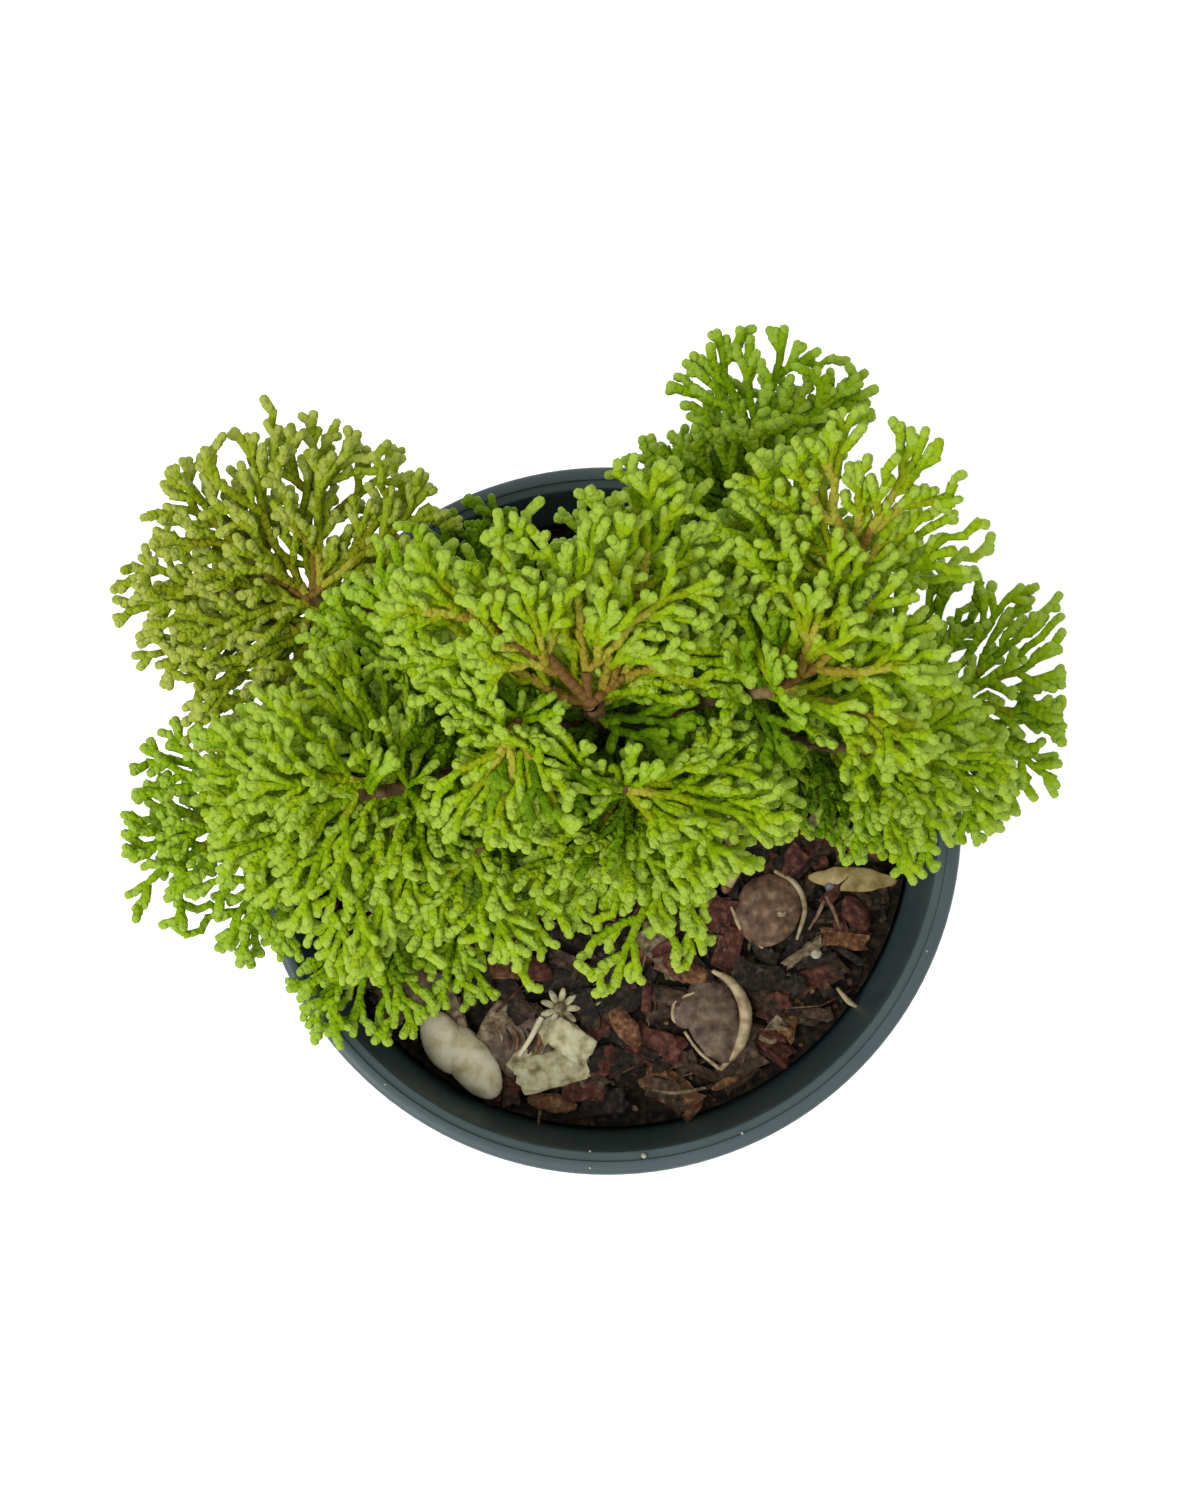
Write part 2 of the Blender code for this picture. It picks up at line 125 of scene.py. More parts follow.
def add_lamp(name, place, size, watts):
    """A square area lamp that faces the crown."""
    aim = Vector((0, 0, 0.13)) - place
    bpy.ops.object.light_add(type="AREA", location=place, rotation=aim.to_track_quat("-Z", "Y").to_euler())
    lamp = bpy.context.object
    lamp.name = name
    lamp.data.size = size
    lamp.data.energy = watts
    return lamp


add_lamp("key_lamp", KEY_PLACE, KEY_SIZE, KEY_WATTS)

# %% [markdown]
# ## Finishes
# A finish here is one Principled shader. On the pot, the wood and the litter, a noise read from
# Object coordinates moves the colour between two tones and makes the bump. The shoots have
# hundreds of thousands of faces, so each of their tints is one plain base colour, and only
# the bump and the gloss vary.

# %% A helper for finishes
def new_finish(name, colour, roughness, specular=0.5):
    material = bpy.data.materials.new(name)
    material.use_nodes = True
    shader = material.node_tree.nodes["Principled BSDF"]
    shader.inputs["Base Color"].default_value = (*colour, 1)
    shader.inputs["Roughness"].default_value = roughness
    shader.inputs["Specular IOR Level"].default_value = specular
    return material


def add_noise(material, size, detail=3, stretch=(1, 1, 1)):
    """A noise on Object coordinates whose lumps are about size metres across."""
    nodes = material.node_tree.nodes
    links = material.node_tree.links
    place = nodes.new("ShaderNodeTexCoord")
    mapping = nodes.new("ShaderNodeMapping")
    mapping.inputs["Scale"].default_value = [1 / (size * part) for part in stretch]
    texture = nodes.new("ShaderNodeTexNoise")
    texture.inputs["Scale"].default_value = 1
    texture.inputs["Detail"].default_value = detail
    links.new(place.outputs["Object"], mapping.inputs["Vector"])
    links.new(mapping.outputs["Vector"], texture.inputs["Vector"])
    return texture.outputs["Fac"]


def add_cells(material, size):
    """Rounded cells about size metres across, highest in their middles."""
    nodes = material.node_tree.nodes
    links = material.node_tree.links
    place = nodes.new("ShaderNodeTexCoord")
    texture = nodes.new("ShaderNodeTexVoronoi")
    texture.inputs["Scale"].default_value = 1 / size
    links.new(place.outputs["Object"], texture.inputs["Vector"])
    rounded = nodes.new("ShaderNodeMath")
    rounded.operation = "SUBTRACT"
    rounded.inputs[0].default_value = 1
    links.new(texture.outputs["Distance"], rounded.inputs[1])
    return rounded.outputs["Value"]


def add_bump(material, height, strength, distance):
    nodes = material.node_tree.nodes
    links = material.node_tree.links
    bump = nodes.new("ShaderNodeBump")
    bump.inputs["Strength"].default_value = strength
    bump.inputs["Distance"].default_value = distance
    links.new(height, bump.inputs["Height"])
    links.new(bump.outputs["Normal"], nodes["Principled BSDF"].inputs["Normal"])


def add_tones(material, factor, stops):
    """Colours the surface by a ramp of (position, colour) stops over a factor."""
    nodes = material.node_tree.nodes
    links = material.node_tree.links
    ramp = nodes.new("ShaderNodeValToRGB")
    for position, colour in stops[1:-1]:
        stop = ramp.color_ramp.elements.new(position)
        stop.color = (*colour, 1)
    for stop, (position, colour) in ((ramp.color_ramp.elements[0], stops[0]),
                                     (ramp.color_ramp.elements[-1], stops[-1])):
        stop.position = position
        stop.color = (*colour, 1)
    links.new(factor, ramp.inputs["Fac"])
    links.new(ramp.outputs["Color"], nodes["Principled BSDF"].inputs["Base Color"])


def add_gloss(material, factor, lowest, highest):
    """Lets a factor from 0 to 1 move the roughness between two values."""
    nodes = material.node_tree.nodes
    links = material.node_tree.links
    spread = nodes.new("ShaderNodeMapRange")
    spread.inputs["To Min"].default_value = lowest
    spread.inputs["To Max"].default_value = highest
    links.new(factor, spread.inputs["Value"])
    links.new(spread.outputs["Result"], nodes["Principled BSDF"].inputs["Roughness"])


# %% The floor
floor_finish = new_finish("pale_floor", FLOOR_COLOUR, 0.9)
floor_finish.node_tree.nodes["Principled BSDF"].inputs["Emission Color"].default_value = (1, 1, 1, 1)
floor_finish.node_tree.nodes["Principled BSDF"].inputs["Emission Strength"].default_value = FLOOR_GLOW
add_bump(floor_finish, add_noise(floor_finish, 4 * MM), 0.1, 0.1 * MM)
deselect_all()
bpy.ops.mesh.primitive_plane_add(size=6)
floor = bpy.context.object
floor.name = "floor"
floor.data.materials.append(floor_finish)
print("floor:", floor.dimensions[:2])

# %% [markdown]
# ## The pot
# The pot is turned from its profile, ring by ring: the foot, the wall, the flat rim whose edge
# hangs down as a skirt, the low step inside it, and the inside down to the base. The plastic is
# slate green, with dust, fine scuffs and a few grains of grit on the rim. The inside of the wall
# has a darker copy of the plastic, which is painted shade.

# %% Turning the pot
POT_OUTLINE = ((47.5, 0), (48.6, 0.4), (49, 1.5), (51.2, 20), (53.5, 40), (55.8, 60), (58.1, 80), (60.4, 100),
               (61.9, 113.2), (62.1, 113.6), (63, 113.6), (63, 106), (63.1, 105), (64.3, 105), (64.5, 105.3),
               (64.95, 112), (65, 113.7), (64.85, 114.4), (64.5, 114.8), (63.9, 115), (62.9, 115), (62.55, 114.9),
               (62.4, 114.55), (62.2, 114.45), (61.4, 114.4), (60.95, 114.2), (60.7, 113.7), (60.5, 112),
               (58.9, 99), (56.2, 76), (53.4, 52), (50.6, 28), (47.9, 4.5), (47.4, 3), (46.1, 2))


def turned(name, outline, sides):
    """A closed solid turned from its outline of (radius, height) points in millimetres."""
    deselect_all()
    radius, height = outline[0]
    bpy.ops.mesh.primitive_circle_add(vertices=sides, radius=radius * MM, fill_type="NGON", location=(0, 0, height * MM))
    obj = bpy.context.object
    obj.name = name
    bpy.ops.object.transform_apply(location=True, rotation=False, scale=False)
    bpy.ops.object.mode_set(mode="EDIT")
    bpy.ops.mesh.select_mode(type="EDGE")
    bpy.ops.mesh.select_all(action="SELECT")
    for (radius, height), (next_radius, next_height) in zip(outline, outline[1:]):
        bpy.ops.mesh.extrude_edges_move(TRANSFORM_OT_translate={"value": (0, 0, (next_height - height) * MM)})
        growth = next_radius / radius
        bpy.ops.transform.resize(value=(growth, growth, 1), center_override=(0, 0, 0))
    bpy.ops.mesh.edge_face_add()
    bpy.ops.mesh.select_all(action="SELECT")
    bpy.ops.mesh.normals_make_consistent(inside=False)
    bpy.ops.object.mode_set(mode="OBJECT")
    return obj


pot = turned("pot_plastic", POT_OUTLINE, 144)
holes = []
for step in range(8):
    turn = math.tau * (step + 0.5) / 8
    bpy.ops.mesh.primitive_cylinder_add(vertices=32, radius=4 * MM, depth=6 * MM,
                                        location=(37 * MM * math.cos(turn), 37 * MM * math.sin(turn), MM))
    holes.append(bpy.context.object)
deselect_all()
for hole in holes:
    hole.select_set(True)
bpy.context.view_layer.objects.active = holes[0]
bpy.ops.object.join()
drain = pot.modifiers.new("drain_holes", "BOOLEAN")
drain.object = holes[0]
drain.solver = "EXACT"
deselect_all()
pot.select_set(True)
bpy.context.view_layer.objects.active = pot
bpy.ops.object.modifier_apply(modifier=drain.name)
bpy.data.objects.remove(holes[0])
bpy.ops.object.shade_smooth_by_angle(angle=math.radians(32))
print("pot:", len(pot.data.polygons), "faces")

# %% Slate-green plastic, and a darker copy of it for the painted shade inside
plastic = new_finish("pot_plastic", (0.045, 0.066, 0.07), 0.5, 0.5)
add_tones(plastic, add_noise(plastic, 9 * MM, 6),
          ((0.3, (0.039, 0.062, 0.067)), (0.55, (0.044, 0.069, 0.074)), (0.8, (0.053, 0.079, 0.085))))
add_gloss(plastic, add_noise(plastic, 1.5 * MM, 5, (1, 1, 6)), 0.34, 0.62)
add_bump(plastic, add_noise(plastic, 0.5 * MM, 4), 0.35, 0.05 * MM)
# Painted shade: a darker copy of the plastic that stands in for the shade inside the pot.
painted_inside_shade = new_finish("painted_inside_shade_plastic", (0.022, 0.026, 0.026), 0.6, 0.3)
add_tones(painted_inside_shade, add_noise(painted_inside_shade, 5 * MM, 5),
          ((0.3, (0.026, 0.032, 0.034)), (0.55, (0.042, 0.053, 0.057)), (0.8, (0.062, 0.077, 0.083))))
add_bump(painted_inside_shade, add_noise(painted_inside_shade, 0.6 * MM, 4), 0.5, 0.08 * MM)
pot.data.materials.append(plastic)
pot.data.materials.append(painted_inside_shade)
# Painted shade: the faces of the inside wall, from the base up to just below the rim, take the darker plastic.
for face in pot.data.polygons:
    x, y, z = face.center / MM
    if 2.5 < z < 111 and math.hypot(x, y) < 47.9 + 0.113 * (z - 2.5):
        face.material_index = 1
print("stained faces on the inside:", sum(face.material_index for face in pot.data.polygons))
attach(pot, "root")
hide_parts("pot")

# %% [markdown]
# ## The growing medium
# It is turned too, up along the inside of the pot and then inwards over the top, which two
# Displace modifiers make uneven. They fade out round the trunk, so that its foot stays buried.

# %% Turning the medium
MEDIUM_TOP = 99
MEDIUM_RADIUS = 57.5
MEDIUM_EDGE_DROP = 3
MEDIUM_RINGS = 30
medium_outline = [(46.6, 2.4), (47.2, 4), (MEDIUM_RADIUS, MEDIUM_TOP - MEDIUM_EDGE_DROP)]
for step in range(1, MEDIUM_RINGS):
    share = 1 - step / MEDIUM_RINGS
    medium_outline.append((MEDIUM_RADIUS * share, MEDIUM_TOP - MEDIUM_EDGE_DROP * share ** 4))
medium = turned("medium_filling", medium_outline, 120)
top = medium.vertex_groups.new(name="top")
for vertex in medium.data.vertices:
    x, y, z = vertex.co / MM
    inside = min(max((MEDIUM_RADIUS - math.hypot(x, y)) / 3, 0), 1)
    from_trunk = min(max((math.hypot(x - 7, y - 12) - 7) / 6, 0), 1)
    if z > 90:
        top.add([vertex.index], inside * from_trunk, "REPLACE")
for kind, size, depth in (("hollows", 9, 2.6), ("lumps", 2.6, 1.5)):
    texture = bpy.data.textures.new(f"medium_{kind}", "CLOUDS")
    texture.noise_scale = size * MM
    relief = medium.modifiers.new(kind, "DISPLACE")
    relief.texture = texture
    relief.texture_coords = "LOCAL"
    relief.direction = "Z"
    relief.mid_level = 0.62
    relief.strength = depth * MM
    relief.vertex_group = "top"
    bpy.ops.object.modifier_apply(modifier=kind)
bpy.ops.object.shade_smooth_by_angle(angle=math.radians(50))

moist = new_finish("growing_medium", (0.02, 0.014, 0.009), 0.85, 0.2)
add_tones(moist, add_noise(moist, 1.6 * MM, 6),
          ((0.38, (0.004, 0.003, 0.002)), (0.58, (0.020, 0.013, 0.007)), (0.8, (0.075, 0.045, 0.023))))
add_bump(moist, add_noise(moist, 0.7 * MM, 5), 1, 0.5 * MM)
medium.data.materials.append(moist)
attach(medium, "root")
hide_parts("growing_medium")
medium_surface = BVHTree.FromObject(medium, bpy.context.evaluated_depsgraph_get())


def ground(x, y):
    """The height of the medium's top under a point, in millimetres."""
    hit = medium_surface.ray_cast(Vector((x, y, 200)) * MM, Vector((0, 0, -1)))[0]
    return hit.z / MM if hit else MEDIUM_TOP - MEDIUM_EDGE_DROP


print("medium:", len(medium.data.polygons), "faces, top at the trunk", round(ground(7, 12), 1))

# %% [markdown]
# ## The wood
# The trunk leans out of the medium and carries 14 curved boughs. Their routes are the ones that
# the model was laid out with, given here again in millimetres. Each limb is a bevelled curve
# turned into a mesh, and two Displace modifiers raise the bark: long fibrous ridges and small
# flakes.

# %% Routes of the limbs
TRUNK_ROUTE = ((7, 12, 99.3), (7, 12, 102), (6.5, 12.5, 108), (5, 13.5, 122), (3, 13.5, 142),
               (0.5, 13, 162), (-2, 12.5, 178), (-3, 13, 187))
TRUNK_RADII = (6.4, 4.9, 4.0, 3.5, 3.0, 2.4, 1.8, 1.2)
BOUGHS = {
    "bough_left_back": (124, ((-20, 23, 138), (-37, 31, 147), (-50, 34, 154)), 2.3, 1.0),
    "bough_left": (134, ((-14, 9, 152), (-28, 3, 163), (-40, 0, 172)), 2.2, 1.0),
    "bough_mid_left": (146, ((-10, 15, 156), (-19, 16, 163), (-26, 17, 168)), 1.6, 0.8),
    "bough_left_low": (114, ((-18, 8, 122), (-38, 2, 131), (-53, 0, 137)), 2.0, 0.9),
    "bough_front_left": (110, ((-10, -2, 117), (-27, -13, 121), (-42, -20, 124)), 1.8, 0.8),
    "bough_front": (140, ((-6, 4, 153), (-15, -4, 161), (-22, -9, 167)), 1.9, 0.9),
    "bough_centre_front": (150, ((3, 7, 162), (4, 1, 172), (3, 0, 181)), 1.8, 0.9),
    "bough_centre_left": (164, ((-7, 11, 174), (-11, 11, 181), (-14, 10, 187)), 1.4, 0.8),
    "bough_right": (130, ((20, 14, 144), (31, 10, 155), (39, 8, 165)), 2.0, 0.9),
    "bough_right_low": (116, ((24, 14, 126), (42, 17, 137), (57, 18, 147)), 2.1, 0.9),
    "bough_right_mid": (152, ((10, 14, 167), (18, 15, 179), (26, 15, 187)), 1.7, 0.9),
    "bough_right_back": (138, ((13, 21, 156), (25, 27, 173), (36, 30, 188)), 2.1, 1.0),
    "bough_back": (120, ((13, 28, 136), (20, 41, 151), (25, 51, 163)), 2.2, 0.9),
    "bough_back_left": (112, ((-6, 25, 116), (-16, 35, 120), (-25, 41, 123)), 1.6, 0.8),
}


def trunk_axis(height):
    """The point of the trunk's axis at a height in millimetres."""
    for low, high in zip(TRUNK_ROUTE, TRUNK_ROUTE[1:]):
        if low[2] <= height <= high[2]:
            share = (height - low[2]) / (high[2] - low[2])
            return Vector(low).lerp(Vector(high), share)
    return Vector(TRUNK_ROUTE[-1])


def smooth_route(points, count):
    """Count points, evenly by parameter, on the smooth curve through the given ones."""
    points = [Vector(point) for point in points]
    ends = [2 * points[0] - points[1], *points, 2 * points[-1] - points[-2]]
    route = []
    for index in range(count):
        place = index / (count - 1) * (len(points) - 1)
        start = min(int(place), len(points) - 2)
        t = place - start
        a, b, c, d = ends[start:start + 4]
        route.append(0.5 * (2 * b + (c - a) * t + (2 * a - 5 * b + 4 * c - d) * t ** 2
                            + (3 * b - a - 3 * c + d) * t ** 3))
    return route


def point_along(route, share):
    place = share * (len(route) - 1)
    start = min(int(place), len(route) - 2)
    return route[start].lerp(route[start + 1], place - start)


ROUTE_POINTS = 31
routes = {"trunk": smooth_route(TRUNK_ROUTE, 61)}
girths = {"trunk": np.interp(np.linspace(0, 7, 61), range(8), TRUNK_RADII)}
for limb, (start, through, thick, thin) in BOUGHS.items():
    routes[limb] = smooth_route((trunk_axis(start), *through), ROUTE_POINTS)
    girths[limb] = np.linspace(thick, thin, ROUTE_POINTS)
print("limbs:", len(routes))

# %% Bark
bark_finish = new_finish("bark", (0.13, 0.07, 0.045), 0.8, 0.25)
add_tones(bark_finish, add_noise(bark_finish, 2.2 * MM, 5, (1, 1, 3)),
          ((0.3, (0.03, 0.018, 0.007)), (0.5, (0.12, 0.068, 0.022)), (0.72, (0.24, 0.16, 0.075))))
add_bump(bark_finish, add_noise(bark_finish, 0.5 * MM, 4, (1, 1, 3)), 0.8, 0.25 * MM)


def make_strand(name, route, radii, sides):
    """A bevelled curve along the route, made a mesh."""
    deselect_all()
    bpy.ops.curve.primitive_nurbs_path_add()
    strand = bpy.context.object
    strand.name = name
    strand.data.splines.clear()
    spline = strand.data.splines.new("POLY")
    spline.points.add(len(route) - 1)
    for point, place, radius in zip(spline.points, route, radii):
        point.co = (*(place * MM), 1)
        point.radius = radius
    strand.data.dimensions = "3D"
    strand.data.bevel_depth = MM
    strand.data.bevel_resolution = sides // 2 - 2
    strand.data.use_fill_caps = True
    bpy.ops.object.convert(target="MESH")
    return bpy.context.object


def make_limb(name, route, radii, sides):
    """A strand with the bark's relief, which replaces its limb of the model."""
    limb = make_strand(name, route, radii, sides)
    for kind, size, depth in (("STUCCI", 1.6 * MM, 0.16), ("CLOUDS", 5 * MM, 0.22)):
        texture = bpy.data.textures.new(f"{name}_{kind}", kind)
        texture.noise_scale = size
        relief = limb.modifiers.new(kind, "DISPLACE")
        relief.texture = texture
        relief.texture_coords = "LOCAL"
        relief.mid_level = 0.5
        relief.strength = depth * max(radii) * MM
        bpy.ops.object.modifier_apply(modifier=kind)
    bpy.ops.object.shade_smooth()
    limb.data.materials.append(bark_finish)
    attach(limb, "root")
    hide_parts(name)
    limb.name = f"bark_{name}"
    return limb


for limb in routes:
    made = make_limb(limb, routes[limb], girths[limb], 20 if limb == "trunk" else 12)

# %% [markdown]
# ## The shoot
# A shoot of this plant is a string of pressed-on scale leaves in crossed pairs: the side pair is
# folded round the edges and stands a little proud at its tips, the face pair is flatter and ends
# sooner. One joint of that string is modelled once, from a sphere of six sides: its rings are
# slid and widened until the side leaves flare at the far end. Every shoot is then a chain of
# copies, and because each one starts inside the one before, the chain has no gaps.

# %% One joint of a shoot
def pick(obj, wanted):
    """Selects the mesh's points for which wanted(point) is true, in edit mode."""
    bpy.ops.mesh.select_all(action="DESELECT")
    bpy.ops.object.mode_set(mode="OBJECT")
    for vertex in obj.data.vertices:
        vertex.select = bool(wanted(vertex.co))
    bpy.ops.object.mode_set(mode="EDIT")


def slide(obj, wanted, move=(0, 0, 0), size=(1, 1, 1)):
    """Moves the picked points by a distance and scales them about the z axis."""
    bpy.ops.mesh.select_mode(type="VERT")
    pick(obj, wanted)
    bpy.ops.transform.resize(value=size, center_override=(0, 0, 0))
    bpy.ops.transform.translate(value=move)


def finish_joint(joint):
    """Stands the shaped joint on the origin, one unit long and wide, in triangles."""
    bpy.ops.mesh.select_all(action="SELECT")
    bpy.ops.transform.translate(value=(0, 0, 1))
    bpy.ops.transform.resize(value=(0.5, 0.5, 0.5), center_override=(0, 0, 0))
    bpy.ops.mesh.quads_convert_to_tris()
    bpy.ops.object.mode_set(mode="OBJECT")
    print(joint.name, len(joint.data.polygons), "triangles")


deselect_all()
bpy.ops.mesh.primitive_uv_sphere_add(segments=6, ring_count=3, radius=1)
joint = bpy.context.object
joint.name = "shoot_joint"
bpy.ops.object.mode_set(mode="EDIT")
slide(joint, lambda co: 0.2 < co.z < 0.9, move=(0, 0, 0.02), size=(1.22, 1.16, 1))
slide(joint, lambda co: 0.2 < co.z < 0.9 and abs(co.x) > 0.9, move=(0, 0, 0.20))
slide(joint, lambda co: -0.9 < co.z < -0.2, move=(0, 0, -0.22), size=(1.04, 1.04, 1))
finish_joint(joint)

# %% The joint at the end of a shoot
deselect_all()
bpy.ops.mesh.primitive_uv_sphere_add(segments=6, ring_count=4, radius=1)
end_joint = bpy.context.object
end_joint.name = "end_joint"
bpy.ops.object.mode_set(mode="EDIT")
slide(end_joint, lambda co: 0.5 < co.z < 0.9, size=(1.12, 1.08, 1))
slide(end_joint, lambda co: abs(co.z) < 0.1 and abs(co.x) > 0.9, move=(0, 0, 0.16), size=(1.04, 1, 1))
slide(end_joint, lambda co: abs(co.z) < 0.5 and abs(co.y) > 0.5, move=(0, 0, 0.05), size=(1, 1.10, 1))
slide(end_joint, lambda co: -0.9 < co.z < -0.5, move=(0, 0, -0.06), size=(1.16, 1.16, 1))
finish_joint(end_joint)


def module_of(obj):
    """The points and triangles of a small mesh, as arrays, and the object removed."""
    points = np.array([vertex.co[:] for vertex in obj.data.vertices])
    faces = np.array([face.vertices[:] for face in obj.data.polygons])
    bpy.data.objects.remove(obj)
    return points, faces


JOINT = module_of(joint)
END_JOINT = module_of(end_joint)

# %% A length of bare twig
deselect_all()
bpy.ops.mesh.primitive_cylinder_add(vertices=6, radius=0.5, depth=1, location=(0, 0, 0.5), end_fill_type="TRIFAN")
twig = bpy.context.object
bpy.ops.object.mode_set(mode="EDIT")
slide(twig, lambda co: co.z < 0.01, size=(1.06, 1.06, 1), move=(0, 0, -0.1))
slide(twig, lambda co: co.z > 0.99, size=(1, 1, 1), move=(0, 0, 0.1))
bpy.ops.mesh.select_all(action="SELECT")
bpy.ops.mesh.quads_convert_to_tris()
bpy.ops.object.mode_set(mode="OBJECT")
bpy.ops.object.transform_apply(location=True, rotation=True, scale=True)
TWIG = module_of(twig)
print("one length of twig:", len(TWIG[1]), "triangles")

# %% [markdown]
# ## The layout of the sprays
# Every mass of the model has its own spray, on the same bough, at the same angle and with the
# same reach. The words beside it say what it looks like in the picture: how far apart its shoots
# stand, which greens it has, and how much of it is older, golden or brown wood.

# %% The sprays that stand for the masses
SPRAYS = {
    "centre_crown": ("trunk", 1.0, 96, 22, 0, 36, 80, 0.08, 15, "fresh", 0.95, 2.05),
    "right_back_crown": ("bough_right_back", 1.0, 86, 26, 5, 27, 70, 0.08, 14, "fresh", 1.7, 2.1),
    "right_mid_fan": ("bough_right_mid", 1.0, 45, 12, -12, 26, 82, 0.06, 13, "fresh", 1.1, 2.1),
    "centre_edge_spray": ("bough_centre_front", 0.8, 150, 6, -66, 36, 26, -0.10, 10, "fresh", 0.3, 2.0),
    "centre_right_fan": ("bough_centre_front", 1.0, -10, 4, -16, 23.5, 44, -0.10, 13, "fresh", 0.2, 2.0),
    "centre_front_spray": ("bough_centre_left", 1.0, -100, -14, 10, 20, 42, -0.10, 11, "fresh", 1.2, 2.1),
    "left_dome": ("bough_left", 1.0, 196, 6, -8, 25, 66, -0.20, 16, "fresh", 0.2, 2.0),
    "left_dome_top": ("bough_left", 0.85, 132, 30, 18, 24, 66, -0.10, 14, "fresh", 0.5, 2.0),
    "left_dome_front": ("bough_left", 0.78, 244, 0, 6, 29, 38, -0.18, 14, "fresh", 0.2, 2.0),
    "mid_left_spray": ("bough_mid_left", 1.0, 116, 18, -10, 25, 62, -0.04, 13, "leaf", 0.3, 2.05),
    "front_left_fan": ("bough_front", 1.0, -116, -10, 8, 20, 56, -0.14, 13, "fresh", 0.3, 2.0),
    "front_fan": ("bough_centre_front", 0.5, -98, -12, -8, 35, 36, -0.12, 12, "fresh", 0.2, 2.0),
    "left_back_fan": ("bough_left_back", 1.0, 114, 14, 6, 30, 80, 0.04, 13, "olive", 0.7, 2.45),
    "left_back_under": ("bough_left_back", 0.86, 198, -4, -6, 41, 40, -0.06, 11, "olive", 0.7, 2.6),
    "left_low_fan": ("bough_left_low", 1.0, 194, 0, -8, 31, 70, -0.06, 12, "leaf", 0.4, 2.5),
    "back_fan": ("bough_back", 1.0, 83, 8, 4, 26, 42, 0.04, 14, "leaf", 0.3, 2.15),
    "back_sprig": ("bough_back", 0.84, 134, 10, 0, 22, 18, 0.04, 7, "leaf", 0.3, 2.15),
    "back_mid_fan": ("bough_back", 0.5, 108, 20, 10, 28, 52, 0.02, 14, "leaf", 0.2, 2.1),
    "right_fan": ("bough_right", 1.0, -11, -2, -10, 25, 49, -0.12, 14, "fresh", 0.3, 2.0),
    "right_front_fan": ("bough_right", 0.62, -82, -8, 4, 17, 48, -0.12, 12, "fresh", 0.2, 2.0),
    "right_low_fan": ("bough_right_low", 1.0, 10, 4, 8, 25.5, 66, -0.05, 12, "leaf", 0.5, 2.5),
    "front_left_sprig": ("bough_front_left", 1.0, -100, -6, 0, 22, 42, -0.08, 9, "leaf", 0.2, 2.3),
    "front_low_sprig": ("bough_front_left", 0.6, -112, -8, 0, 23, 36, -0.06, 8, "leaf", 0.2, 2.5),
    "right_front_sprig": ("bough_right_low", 0.42, -78, -12, 0, 18, 46, -0.06, 8, "olive", 0.5, 2.4),
    "right_low_sprig": ("bough_right_low", 0.78, -54, -10, 4, 28, 44, -0.06, 8, "leaf", 0.5, 2.2),
    # The sprays that follow, all but the last, sit inside the crown and take the darkest greens, which are painted
    # shade.
    "back_left_sprig": ("bough_back_left", 1.0, 106, 4, 0, 13.5, 60, 0.02, 10, "inner_shade", 0.2, 2.2),
    "inner_back_fill": ("trunk", 0.72, 82, 4, 0, 27, 62, -0.06, 14, "inner_shade", 0.2, 2.1),
    "inner_right_fill": ("bough_right", 0.4, 14, 2, 0, 28, 52, -0.06, 14, "inner_shade", 0.2, 2.1),
    "back_right_fill": ("bough_right_back", 0.45, 58, 0, 0, 29, 54, -0.06, 14, "inner_shade", 0.2, 2.1),
    "left_mid_fill": ("bough_left_low", 0.5, 150, 12, 0, 27, 50, -0.06, 13, "inner_shade", 0.2, 2.1),
    "back_low_fill": ("bough_back", 0.32, 66, -4, 0, 30, 56, -0.06, 13, "inner_shade", 0.2, 2.1),
    "back_left_fill": ("bough_back_left", 0.55, 150, 12, 0, 28, 46, -0.06, 13, "inner_shade", 0.2, 2.1),
    "front_low_fill": ("bough_front_left", 0.22, -48, 4, 0, 20, 52, -0.06, 11, "inner_shade", 0.2, 2.1),
    "front_mid_fill": ("bough_front", 0.25, -150, -6, 0, 27, 50, -0.06, 13, "leaf", 0.2, 2.05),
}


class Spray:
    """One flat fan: where it starts, its own axes, its outline and its looks."""

    def __init__(self, foot, heading, pitch, roll, reach, spread, curl, greens, age, spacing, seed):
        self.foot = foot
        axes = (Matrix.Rotation(math.radians(heading), 3, "Z")
                @ Matrix.Rotation(-math.radians(pitch), 3, "Y")
                @ Matrix.Rotation(math.radians(roll), 3, "X"))
        self.along, self.across, self.up = axes.col
        self.reach = reach * REACH_SCALE
        self.spread = math.radians(spread)
        self.curl = curl
        self.greens = greens
        self.age = age
        self.spacing = spacing * SPACING_SCALE
        self.ruffle = 0.2
        self.chance = random.Random(seed)
        self.phases = [self.chance.uniform(0, math.tau) for _ in range(6)]

    def edge(self, turn):
        """How far the outline reaches at an angle from the spray's middle line."""
        share = turn / self.spread
        if abs(share) > 1.2:
            return 0
        lobes = math.sin(5.2 * turn + self.phases[0]) + 0.7 * math.sin(9.1 * turn + self.phases[1])
        return self.reach * (1 - SHOULDER * share ** 2) * (1 + LOBE_DEPTH * lobes)

    def place(self, u, v, lift):
        """The point of space for a point of the spray's plane, which curls and undulates."""
        wave = WAVE_HEIGHT * math.sin(u / WAVE_LENGTH + self.phases[2]) * math.sin(v / WAVE_LENGTH + self.phases[3])
        rise = lift + wave + self.curl * (u * u + v * v) / self.reach - SIDE_DROOP * v * v / self.reach
        return self.foot + self.along * u + self.across * v + self.up * rise


REACH_SCALE = 1.08
SPACING_SCALE = 0.86
SHOULDER = 0.14
LOBE_DEPTH = 0.055
WAVE_HEIGHT = 0.9
WAVE_LENGTH = 4.5
SIDE_DROOP = 0.1

sprays = []
for index, (limb, share, heading, pitch, roll, reach, spread, curl, thick, greens, age, spacing) in enumerate(SPRAYS.values()):
    foot = point_along(routes[limb], share)
    sprays.append(Spray(foot, heading, pitch, roll, reach, spread, curl, greens, age, spacing, index))
print("sprays that stand for masses:", len(sprays))
